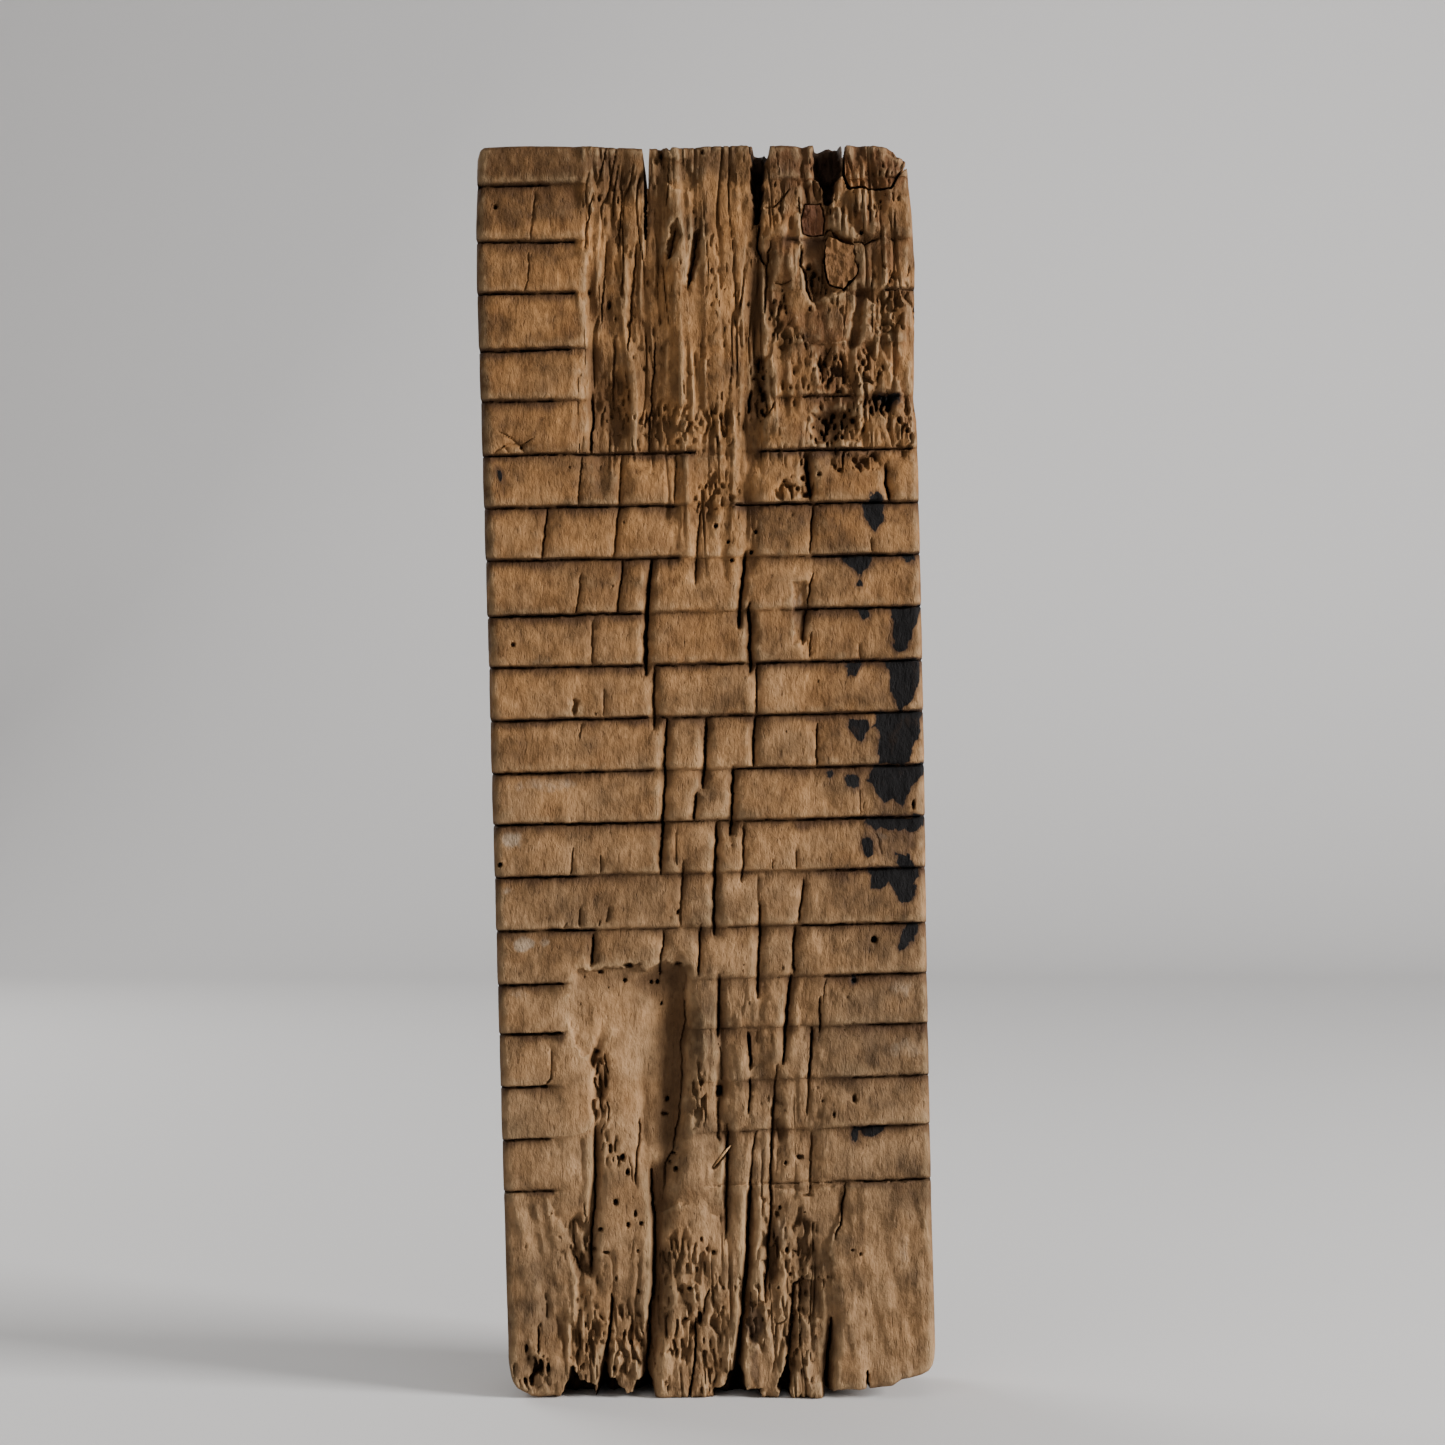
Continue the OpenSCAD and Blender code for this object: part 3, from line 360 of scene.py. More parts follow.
# Black pitch stains, as outlines
PITCH = [
    [(64.3, 357.4), (72.8, 357.4), (72, 350), (68.5, 346), (65.5, 349)],
    [(67, 362), (72, 362), (72, 358), (67, 358)],
    [(-81.9, 375.4), (-80.4, 375.2), (-80.2, 369.6), (-81.2, 370)],
    [(54, 336.8), (69, 336.8), (67, 333), (65.5, 330), (63.4, 329.6), (63, 323), (61.6, 323), (61, 330),
     (58, 332.5)],
    [(79.5, 336.6), (85.5, 336.6), (84, 332.5), (81, 333)],
    [(61, 315.7), (66.7, 315.7), (65.5, 311), (62.5, 310.6)],
    [(73.4, 315.7), (86.8, 315.7), (84, 308), (80.5, 298), (76, 296.8), (74.8, 303), (75.2, 310)],
    [(55.4, 294.2), (61.8, 294.2), (60.5, 289.5), (57, 289)],
    [(71.6, 294.4), (86.6, 294.4), (85.5, 285), (80, 275), (76, 273.8), (74, 282), (72.5, 289)],
    [(56, 271.5), (65.5, 271.5), (63.5, 264), (60, 261), (57.5, 265)],
    [(66.7, 273.6), (86.4, 273.6), (84.6, 264), (80.5, 254), (79, 252.4), (68, 252.4), (68.5, 262)],
    [(64, 246), (66.5, 252.3), (87, 252.3), (86.6, 248), (82, 244.5), (80.5, 241), (77.5, 236), (75.5, 237.5),
     (73.5, 239), (71, 236.5), (69, 237), (67.2, 242)],
    [(54, 249), (55.5, 250), (60, 249.3), (61.3, 247), (58.5, 243.6), (55.5, 244.5)],
    [(47, 250.5), (50.2, 250.5), (49.8, 247.6), (47.8, 246.8)],
    [(62.5, 231.8), (87, 231.8), (86.4, 228), (80, 225.5), (72, 227.5), (66, 226.5), (62.5, 228.5)],
    [(60.2, 224.5), (65, 222), (65.3, 217), (64, 214.8), (61.5, 217), (59.4, 220.5)],
    [(74, 217), (79, 217.5), (80.2, 213), (81.5, 211.2), (73.5, 211.2)],
    [(63.6, 211.2), (71, 211.2), (70.8, 204), (67.5, 201.8), (65, 203.5), (63.9, 207)],
    [(70, 211.2), (84, 211.2), (82, 206), (81.6, 201), (78.5, 197), (77, 196.4), (74.5, 199), (72, 202.5),
     (70.5, 207)],
    [(78, 188.8), (84, 188.8), (81.8, 185), (79.5, 180.5), (76, 177.4), (74.7, 178.5), (75.2, 182.5),
     (77.2, 186.5)],
    [(55.5, 168.6), (58, 168.6), (57.2, 165.6), (56, 165.2)],
    [(54.5, 107.8), (69, 108), (66, 105.4), (62.5, 104), (60, 104.2), (57, 106), (56.5, 103), (55.2, 98.6),
     (54.4, 103)],
    [(71, 401), (79.6, 401), (78.6, 397), (73, 396.4)],
]

# Soft brown or grey stains: x, z, half width, half height, strength
STAINS = [
    (72, 236, 8, 5, .6), (73, 221, 12, 9, .7), (66, 224, 6, 6, .7), (80, 227, 6, 4, .6), (69, 217, 4, 3, .7),
    (80, 240, 5, 4, .5), (83, 208, 3.5, 4, .4), (76.5, 193, 1.2, 4, .5),
    (63.5, 284.5, 3.5, 4.5, .5), (51, 264, 3.5, 5.5, .4), (73, 262, 9, 12, .35), (53, 223.5, 1.5, 3, .3),
    (43, 124.5, 2.2, 3, .4), (59.5, 124.5, 4.5, 3, .45), (34.8, 104.5, 1.3, 3, .4), (41.5, 106.5, 2, 1.8, .35),
    (62.5, 143.5, 2, 4, .4), (50.5, 25, 3, 6, .35), (58.5, 17.5, 4, 2.6, .4), (55.5, 55, 2, 3, .3),
    (33, 96, 2.2, 2.2, .5), (54, 206.5, 3, 3.4, .6), (69, 287, 3, 5, .5), (-60, 68, 3, 6, .3),
    (36, 39, 4.5, 8, .35), (13.8, 30, 4, 9, 1.0), (13.6, 12, 2.6, 9, .8), (66, 228, 4, 4, .4),
    (-82, 355, 1, 1.6, .6), (-83, 341, 1, 1.4, .5), (54, 388, 9, 7, .4), (76, 399, 5, 3, .6),
    (-57, 4, 7, 4, .5), (73, 246, 10, 7, .3), (78, 285, 9, 11, .45), (79, 305, 8, 10, .42), (62, 244, 8, 6, .4),
    (80, 262, 9, 9, .45), (66, 350, 7, 8, .4),
    (60, 330, 8, 7, .35),
]

# Pale dusty patches: x, z, half width, half height, strength
DUST = [
    (-79.5, 226, 5, 3.4, .8), (-82, 206, 2.4, 2.2, .6), (-75.8, 183.8, 4.4, 2.8, 1.0), (-67.5, 184.5, 2.6, 1.8, .6),
    (-67, 247.5, 17, 3, .45), (-78, 164, 5, 2.6, .4), (75, 164, 6, 6, .4), (77, 139, 7, 6, .4),
    (76, 206, 1.3, 1.3, .9), (69, 224, 2.4, 2.6, .5), (38, 314, 2.6, 11, .35), (-6, 30, 3, 12, .2),
    (24, 66, 4, 10, .3), (74, 57, 3, 10, .3),
]

# Broad lighter and darker areas: x, z, half width, half height, strength
TONES = [
    (-40, 130, 16, 34, .22), (-3, 295, 12, 24, .16), (-56, 158, 10, 12, .12), (-57, 392, 12, 14, .12),
    (-20, 370, 12, 12, .10), (72, 30, 22, 46, .12), (75, 250, 12, 60, -.10), (55, 450, 34, 60, -.14),
    (-3, 150, 8, 26, -.30), (15, 120, 12, 30, -.14), (-20, 100, 8, 20, -.10), (-56, 200, 26, 10, -.08),
    (36, 360, 18, 26, -.10), (-76, 12, 12, 10, -.14), (-20, 60, 9, 30, -.10), (-74, 46, 8, 14, -.12),
    (14, 470, 8, 30, .08), (-60, 480, 30, 30, -.08), (35, 285, 10, 10, .08), (66, 180, 26, 130, -.10),
    (-32, 240, 18, 13, -.12), (-74, 40, 12, 24, -.12),
]

# Radii of the worn edges: left, right, top, foot
EDGE_ROUND = (3.6, 2.6, 2.0, 3.0)

# The worn top edge and the worn foot, as x and height of the outline
TOP_EDGE = [
    (-87.8, 496), (-87.4, 499), (-85.9, 502.7), (-84.6, 503.7), (-70, 504), (-50, 503.5), (-40, 503),
    (-30, 502.7), (-20.7, 501.8), (-20.3, 486), (-18.9, 486), (-18.4, 502), (-11, 502), (-10.1, 500.6),
    (-9.2, 502), (0, 502), (5, 502.4), (20, 502.4), (24.4, 501.8), (27.4, 500.6), (29.2, 496.9), (30.2, 501.8),
    (34.8, 502.1), (40.3, 501.5), (43.4, 501.0), (47, 501.6), (49.8, 501.2), (53.2, 502.6), (58.1, 502.6),
    (60, 500.6), (61.2, 501.6), (71.6, 501.2), (77.1, 500.3), (79.6, 498.4), (80.8, 496.3), (83.3, 495.4),
    (84.8, 492.9), (85.7, 488), (87, 484),
]
FOOT_EDGE = [
    (-86, 19), (-85.3, 15), (-84.6, 10.5), (-83.6, 8), (-82, 5.9), (-79, 4.2), (-76.5, 2.7), (-73, 2.1),
    (-68, 2.6), (-64, 1.6), (-60, 1.4), (40, -.9), (44, 1.6), (58, 2.3), (60, 2.5), (68, 3.5), (70.5, 5),
    (72, 6), (75, 6.5), (78, 7), (80, 7.5), (83, 9), (84.5, 11), (85.5, 14), (86, 18),
]
# The long edges, as height and x
LEFT_EDGE = [(-5, -85.4), (20, -85.4), (100, -86), (260, -87.1), (300, -87.2), (340, -87.6), (400, -88),
             (447, -88.6), (472, -88.3), (497, -87.4), (506, -86.9)]
RIGHT_EDGE = [(-5, 85.8), (20, 85.8), (85, 85.5), (170, 85.8), (260, 86.6), (340, 86.8), (375, 86.8), (390, 86.6),
              (399, 85.7), (410, 86.1), (435, 86.9), (454, 87.4), (481, 86.3), (488, 85.9), (506, 85)]

# The corner block, its seat in the plank, the pocket and its two loose flakes
BLOCK_FOOT = [(60.2, 489.5), (62.2, 484.8), (67.4, 485.3), (69.2, 484.1), (78.2, 484.1), (79.6, 486.6),
              (80.8, 488.9), (84.3, 492.4)]
SEAT = [(59.5, 512), (95, 512), (95, 492.2), (84.2, 491.8), (80.9, 488), (79.8, 485.6), (78.4, 483.4),
        (69, 483.4), (67.2, 484.6), (62, 484), (61.2, 484.2), (59.3, 489.4)]
SEAT_DEEP = 30.0
POCKET = [(42, 480), (51, 480.4), (53.8, 469), (62, 463.6), (65.6, 452), (58.6, 442.4), (45.8, 439.4),
          (41.4, 452), (41.8, 464)]
POCKET_DEEP = 11.0
UPPER_FLAKE = [(43.4, 466.5), (50.4, 466), (51, 471.5), (49.4, 478), (44.2, 478.4), (42.8, 472)]
LOWER_FLAKE = [(52.4, 446), (58.4, 443.6), (62.2, 447.8), (64.6, 451.4), (62.6, 461), (58, 462.4), (53, 464.5),
               (51, 456)]
SPLINTER = [(-1.6, 92.6), (5.6, 101.2)]
GROOVE_DEEP = 4.4            # of the groove that the splinter lies in


# ---------------------------------------------------------------- camera, first of all
def make_camera():
    """Looks level along +Y at mid height, from straight in front."""
    data = bpy.data.cameras.new("camera")
    data.sensor_width = 36
    data.lens = data.sensor_width * CAMERA_BACK / FIELD
    data.clip_start = 0.01
    camera = bpy.data.objects.new("camera", data)
    bpy.context.scene.collection.objects.link(camera)
    camera.location = (AIM[0], -HALF * MM - CAMERA_BACK, AIM[1])
    camera.rotation_euler = (math.pi / 2, 0, 0)
    bpy.context.scene.camera = camera


make_camera()


# ---------------------------------------------------------------- random fields and rasters
def field(u, v, seed):
    """Smooth random field: random heights on a unit lattice, joined by s-curves, from -1 to 1."""
    table = np.random.default_rng(seed).uniform(-1, 1, (256, 256))
    iu, iv = np.floor(u).astype(int), np.floor(v).astype(int)
    fu, fv = u - iu, v - iv
    fu, fv = fu * fu * (3 - 2 * fu), fv * fv * (3 - 2 * fv)
    i0, i1, j0, j1 = iu & 255, (iu + 1) & 255, iv & 255, (iv + 1) & 255
    low = table[i0, j0] * (1 - fu) + table[i1, j0] * fu
    high = table[i0, j1] * (1 - fu) + table[i1, j1] * fu
    return low * (1 - fv) + high * fv


def layered(u, v, seed, layers=3):
    """Sum of fields, each twice as fine and a bit over half as strong as the last."""
    total, gain = 0, 1.0
    for k in range(layers):
        total = total + gain * field(u * 2 ** k + 17.3 * k, v * 2 ** k + 9.1 * k, seed + k)
        gain *= 0.55
    return total / (1 + 0.55 + 0.3)


def ease(low, high, value):
    """0 below low, 1 above high, an s-curve between."""
    t = np.clip((value - low) / (high - low), 0, 1)
    return t * t * (3 - 2 * t)


def edge(outline):
    """An outline as a function: the second coordinate at any value of the first."""
    pairs = np.array(outline, float)
    return lambda v: np.interp(v, pairs[:, 0], pairs[:, 1])


def blurred(a, cells):
    """Three passes of a running mean along both directions."""
    n = max(1, int(round(cells)))
    for _ in range(3):
        for axis in (0, 1):
            pad = [(0, 0), (0, 0)]
            pad[axis] = (n + 1, n)
            c = np.cumsum(np.pad(a, pad, mode="edge"), axis=axis)
            hi = np.take(c, np.arange(2 * n + 1, c.shape[axis]), axis=axis)
            lo = np.take(c, np.arange(0, c.shape[axis] - 2 * n - 1), axis=axis)
            a = (hi - lo) / (2 * n + 1)
    return a


def path_distance(U, V, path):
    """Distance to a path, share of its length passed at the nearest point, and side (+1 is right of a path
    that runs down)."""
    best = np.full(U.shape, 1e9)
    along, side = np.zeros(U.shape), np.ones(U.shape)
    points = np.array(path, float)
    steps = np.hypot(*(points[1:] - points[:-1]).T)
    total, passed = steps.sum(), 0.0
    for a, b, length in zip(points[:-1], points[1:], steps):
        d = (b - a) / length
        pu, pv = U - a[0], V - a[1]
        t = np.clip(pu * d[0] + pv * d[1], 0, length)
        dist = np.hypot(pu - t * d[0], pv - t * d[1])
        near = dist < best
        best = np.where(near, dist, best)
        along = np.where(near, (passed + t) / total, along)
        side = np.where(near, np.sign(d[0] * pv - d[1] * pu), side)
        passed += length
    return best, along, side


def outline_distance(U, V, outline):
    """Distance to a closed outline, positive inside it."""
    best, _, _ = path_distance(U, V, list(outline) + [outline[0]])
    inside = np.zeros(U.shape, bool)
    x0, z0 = outline[-1]
    for x1, z1 in outline:
        crosses = (z0 > V) != (z1 > V)
        inside ^= crosses & (U < (x1 - x0) * (V - z0) / (z1 - z0 + 1e-9) + x0)
        x0, z0 = x1, z1
    return np.where(inside, best, -best)


class Face:
    """One face of the plank as a raster in mm: relief is the worn surface below the face's plane, cuts are the
    slots and pits sunk into it; masks hold colour."""

    def __init__(self, reach, cell):
        self.u0, self.v0, self.cell = -reach, LOW, cell
        self.U, self.V = np.meshgrid(np.arange(-reach, reach + cell, cell), np.arange(LOW, HIGH + cell, cell))
        self.relief = np.zeros(self.U.shape)
        self.cuts = np.zeros(self.U.shape)
        self.masks = {}

    def near(self, points, reach):
        """Window of the raster round some points."""
        p = np.array(points, float)
        lo, hi = p.min(0) - reach, p.max(0) + reach
        c0 = max(0, int((lo[0] - self.u0) / self.cell))
        r0 = max(0, int((lo[1] - self.v0) / self.cell))
        return (slice(r0, max(r0 + 1, int((hi[1] - self.v0) / self.cell) + 2)),
                slice(c0, max(c0 + 1, int((hi[0] - self.u0) / self.cell) + 2)))

    def split(self, w0, w1, deep, path, round_off=1.0, seed=3):
        """Split of the wood: a V slot that widens along its path, with rounded shoulders."""
        w = self.near(path, 6)
        U, V = self.U[w], self.V[w]
        wobble = 0.34 * field(V / 3.1, U * 0.02 + path[0][0], seed) + 0.18 * field(V / 0.9, U * 0.1, seed + 1)
        dist, along, side = path_distance(U + wobble, V, path)
        half = (w0 + (w1 - w0) * along) / 2 * (1 + 0.5 * field(V / 2.3, U * 0 + path[0][0], seed + 2))
        ends = 0.35 + 0.65 * ease(0, 0.14, along) * ease(1, 0.9, along)
        slot = deep * (0.25 + 0.12 * deep) * ends * np.clip(1 - dist / (0.42 * half + 0.22), 0, 1)
        reach = np.where(side > 0, 5.1, 3.45) * (1 + 0.3 * field(U / 5, V / 6, seed + 4))
        shoulder = round_off * ends * np.clip(1 - dist / reach, 0, 1) ** 2
        self.relief[w] += shoulder
        self.cuts[w] = np.maximum(self.cuts[w], slot)

    def hollow(self, rows):
        """Long hollow that follows heights: steepness and reach differ to its left and right."""
        r = np.array(sorted(rows), float)
        w = self.near([(r[:, 1].min() - r[:, 3].max(), r[0, 0]), (r[:, 1].max() + r[:, 4].max(), r[-1, 0])], 2)
        U, V = self.U[w], self.V[w]
        V = V + 1.2 * field(U / 5, V / 9, 41) + 0.5 * field(U / 1.5, V / 3, 42)
        x, deep, left, right = (np.interp(V, r[:, 0], r[:, k]) for k in (1, 2, 3, 4))
        inside = (V > r[0, 0]) & (V < r[-1, 0])
        s = U - x + 0.5 * field(U / 6, V / 5, 43)
        fall = np.where(s < 0, np.clip(1 + s / left, 0, 1), np.clip(1 - s / right, 0, 1))
        fall = fall * (0.45 + 0.55 * fall)
        self.relief[w] += np.where(inside, deep * fall, 0)

    def ledge(self, deep, fade, path, seed=6):
        """Broken step along a path: the side on the left of the way it runs is sunk, rising back over fade."""
        w = self.near(path, fade + 3)
        U, V = self.U[w], self.V[w]
        shift = 0.8 * field(U / 2.4, V / 2.4, seed) + 0.4 * field(U / 1.0, V / 1.0, seed + 1)
        dist, along, side = path_distance(U + shift, V + shift, path)
        ends = ease(0, 0.08, along) * ease(1, 0.92, along)
        gap = dist * side
        self.relief[w] += deep * ends * ease(-0.3, 0.6, gap) * np.clip(1 - gap / fade, 0, 1)

    def sink(self, deep, soft, outline, seed=5):
        """Sunk patch: full depth inside the outline, with a wall as wide as soft."""
        w = self.near(outline, soft + 3)
        U, V = self.U[w], self.V[w]
        shake = 0.6 * field(U / 2.2, V / 2.2, seed) + 0.3 * field(U / 0.9, V / 0.9, seed + 1)
        d = outline_distance(U, V, outline) + shake
        rough = 1 + 0.12 * field(U / 1.8, V / 5, seed + 2)
        fall = deep * rough * ease(-0.3, soft, d)
        if deep > SLOT_DEEP:
            self.cuts[w] = np.maximum(self.cuts[w], fall)
        else:
            self.relief[w] += fall

    def pit(self, u, v, ru, rv, deep):
        """Round or oval pit with steep walls."""
        w = self.near([(u, v)], 2.5 * max(ru, rv) + 1)
        U, V = self.U[w], self.V[w]
        d = np.hypot((U - u) / ru, (V - v) / rv) + 0.22 * field(U / 0.8 + u, V / 0.8 + v, 8)
        self.cuts[w] = np.maximum(self.cuts[w], deep * ease(1.2, 0.5, d))
        self.relief[w] += 0.2 * ease(1.9, 1.0, d)

    def eat(self, u, v, ru, rv, deep, seed=9):
        """Patch eaten into ragged upright cells: a thresholded field inside a soft oval."""
        w = self.near([(u, v)], 1.5 * max(ru, rv) + 2)
        U, V = self.U[w], self.V[w]
        d = np.hypot((U - u) / ru, (V - v) / rv) + 0.35 * field(U / 3, V / 4, seed)
        tall = 2.3 if v > 300 else 4.4
        cells = ease(0.04, 0.38, field(U / 1.05 + 0.6 * field(U / 3, V / 5, seed + 1), V / tall, seed + 2))
        self.cuts[w] = np.maximum(self.cuts[w], deep * cells * ease(1.15, 0.65, d))
        self.relief[w] += 0.22 * deep * ease(1.3, 0.5, d)

    def pit_scatter(self, count, box, size, deep, tall, seed):
        """Many small pits at seeded random places."""
        rng = np.random.default_rng(seed)
        for _ in range(count):
            r = rng.uniform(*size)
            self.pit(rng.uniform(box[0], box[1]), rng.uniform(box[2], box[3]), r, r * rng.uniform(1, tall),
                     deep * rng.uniform(0.4, 1))

    def sample(self, grid, u, v):
        """Value of a raster between its cells."""
        fu = np.clip((u - self.u0) / self.cell, 0, grid.shape[1] - 1.001)
        fv = np.clip((v - self.v0) / self.cell, 0, grid.shape[0] - 1.001)
        iu, iv = fu.astype(int), fv.astype(int)
        fu, fv = fu - iu, fv - iv
        low = grid[iv, iu] * (1 - fu) + grid[iv, iu + 1] * fu
        high = grid[iv + 1, iu] * (1 - fu) + grid[iv + 1, iu + 1] * fu
        return low * (1 - fv) + high * fv


# ---------------------------------------------------------------- the ribbed front
def kerf_line(k, U):
    """Height of saw cut k along x: straight between its ends, with a slight waver."""
    left, right = KERFS[k][:2]
    return left + (right - left) * (U + 87) / 174 + 0.25 * field(U / 11, 0 * U + k * 3.7, 11) \
        + 0.18 * field(U / 2.6, 0 * U + k * 1.9, 12)


def box(U, V, left=None, right=None, foot=None, top=None):
    """1 inside a box, 0 outside: each side that is given eases in between two values."""
    total = 1.0
    for side, value in ((left, U), (right, U), (foot, V), (top, V)):
        if side:
            total = total * ease(*side, value)
    return total


def rib_keep(U, V):
    """How much of the ribs is left: 1 where fresh, 0 where rubbed or rotted away."""
    upper = np.maximum(box(U, V, left=(-50, -42), right=(34, 24), foot=(376, 386)),
                       0.8 * box(U, V, left=(-16, -6), right=(24, 12), foot=(328, 350)))
    right_top = box(U, V, left=(22, 32), foot=(378, 388))
    hollow = box(U, V, left=(-68, -58), right=(-4, -12), top=(182, 172))
    middle = box(U, V, left=(-14, -6), right=(52, 42), top=(178, 166))
    keep = (1 - 0.95 * upper) * (1 - 0.45 * right_top) * (1 - hollow) * (1 - 0.5 * middle)
    return keep * ease(70, 86, V) * (1 - 0.25 * box(U, V, right=(-60, -70), top=(180, 165)))


def worn_zones(U, V):
    """Where the fibres lie open, with jagged edges: the worn upper part, the rotted top at the right, the foot
    and the rubbed band above it."""
    def jagged(wide, seed, size=6):
        return V + size * field(U / wide, V / 30, seed)

    upper = ease(-53, -38, U + 5 * field(V / 13, U / 40, 14)) * box(U, jagged(5, 20), right=(32, 22), foot=(362, 392))
    funnel = box(U, jagged(4, 17), left=(-20, -8), right=(26, 12), foot=(322, 352))
    rot = box(U, jagged(6, 19), left=(24, 32), foot=(366, 390))
    foot = box(U, jagged(6, 18, 8), left=(-74, -60), right=(50, 42), top=(74, 36))
    band = box(U, V, left=(-10, -2), right=(50, 38), foot=(20, 60), top=(176, 160))
    return np.maximum(upper, 0.75 * funnel), rot, foot, band


def grooves(U, V, wide, tall, seed, thin=0.25):
    """1 along thin wandering lines drawn out along the plank, 0 between: where a stretched field is near 0."""
    g = field(U / wide + 0.9 * field(U / 11, V / 30, seed + 5), V / tall, seed)
    return ease(thin, 0.0, np.abs(g))


def steps(value, rise):
    """Flat steps of 1 with a short rise between them."""
    return np.floor(value) + ease(0.0, rise, value - np.floor(value))


def tremble(x, z):
    """How far each point of a broken outline strays in x and in z."""
    return [0.7 * field(x / 6, z / 6, 171 + k) + 0.4 * field(x / 1.8, z / 1.8, 173 + k) for k in (0, 1)]


def rib_relief(U, V):
    """Each rib slopes in towards its top and is rounded at its lower lip, above the saw cut."""
    relief = np.zeros(U.shape)
    keep = rib_keep(U, V)
    lines = [np.full(U.shape, HEIGHT + 2.0)] + [kerf_line(k, U) for k in range(len(KERFS))]
    rng = np.random.default_rng(7)
    for k, (up, low) in enumerate(zip(lines, lines[1:])):
        q = np.clip((V - low) / (up - low), 0, 1)
        slope = rng.uniform(*RIB_SLOPE) * (0.35 * q + 0.65 * ease(0.45, 1.02, q))
        lip = np.clip(1 - (V - low) / (LIP + 1.2 * field(U / 9, V * 0 + k, 13)), 0, 1)
        nose = NOSE * (1 - np.sqrt(np.clip(1 - lip * lip, 0, 1)))
        relief += np.where((V <= up) & (V > low), keep * (slope + nose), 0)
    return relief


def open_fibres(f, upper, rot, foot, band):
    """Fibres stand out where the soft wood between them has weathered away, and torn bundles leave steps; then
    hair cracks and small eaten cells."""
    U, V = f.U, f.V
    bend = 0.8 * field(U / 10, V / 34, 31)
    patchy = 0.35 + 0.95 * ease(-0.35, 0.45, field(U / 8, V / 24, 37))
    for zone, wide, tall, gain in ((upper, 2.4, 110, 0.72), (rot, 2.6, 30, 0.78), (foot, 2.6, 26, 0.7),
                                   (band, 3, 24, 0.25)):
        part = zone * gain * patchy
        f.relief += part * 1.5 * (0.5 - np.abs(field(U / wide + bend, V / tall, 32)))
        f.relief += part * 0.8 * (0.5 - np.abs(field(U / (wide * 0.5) + bend, V / (tall * 0.45), 33)))
        torn = 2.4 * field(U / (wide * 1.8), V / (tall * 0.4), 34) + 0.35 * field(U / 1.3, V / 4, 36)
        f.relief += part * 0.62 * steps(torn, 0.35)
    worn = np.clip(0.15 + upper + foot + rot + 0.4 * band, 0, 1)
    f.relief += (0.13 + 0.08 * worn) * layered(U / 1.2, V / 3.8, 35)
    f.relief += (0.07 + 0.06 * worn) * field(U / 0.9, V / 1.4, 39)
    hair = grooves(U, V, 3.2, 46, 131, 0.13) * ease(-0.3, 0.15, field(U / 7, V / 22, 133))
    hair = hair * (0.9 * upper + 0.6 * rot + 0.7 * foot + 0.15 * band)
    eaten = ease(0.40, 0.72, field(U / 0.95 + 0.6 * field(U / 4, V / 4, 48), V / 3.4, 49))
    eaten = eaten * ease(0.05, 0.5, field(U / 8, V / 14, 50) + 0.12)
    eaten = eaten * (0.9 * foot + 0.6 * upper + 0.9 * rot + 0.25 * band)
    f.relief += 0.35 * hair + 0.7 * eaten
    f.cuts += 2.4 * hair + 1.2 * eaten


def saw(f):
    """Saw cuts keep their depth below the first face, so they fade where it has worn down."""
    U, V = f.U, f.V
    for k, (_, _, runs) in enumerate(KERFS):
        line = kerf_line(k, U)
        chipped = 0.28 * field(U / 1.1, V / 1.1, 61 + k) + 0.22 * field(U / 4, V * 0 + k, 62)
        for x0, x1, strength in runs:
            ends = ease(x0 - 0.8, x0 + 0.8, U) * ease(x1 + 0.8, x1 - 0.8, U)
            half = 0.04 + 0.20 * strength + chipped * (0.25 + 0.25 * strength)
            floor = KERF_DEEP * strength - f.relief if strength > KERF_CLEAR else 2.6 * strength
            cut = np.maximum(floor, 1.2 * strength) * ease(half + 0.30, half - 0.28, np.abs(V - line)) * ends
            f.cuts = np.maximum(f.cuts, cut)


def round_edges(f):
    """Rounded long edges and worn ends; the narrow split in the top edge is left sharp."""
    whole_top = [p for p in TOP_EDGE if not -20.5 < p[0] < -18.6]
    gaps = (f.U - edge(LEFT_EDGE)(f.V), edge(RIGHT_EDGE)(f.V) - f.U, edge(whole_top)(f.U) - f.V,
            f.V - edge(FOOT_EDGE)(f.U))
    for gap, radius in zip(gaps, EDGE_ROUND):
        r = radius * (1 + 0.25 * field(f.U / 9, f.V / 9, 71))
        e = np.clip(1 - gap / r, 0, 0.96)
        f.relief += r * (1 - np.sqrt(1 - e * e))


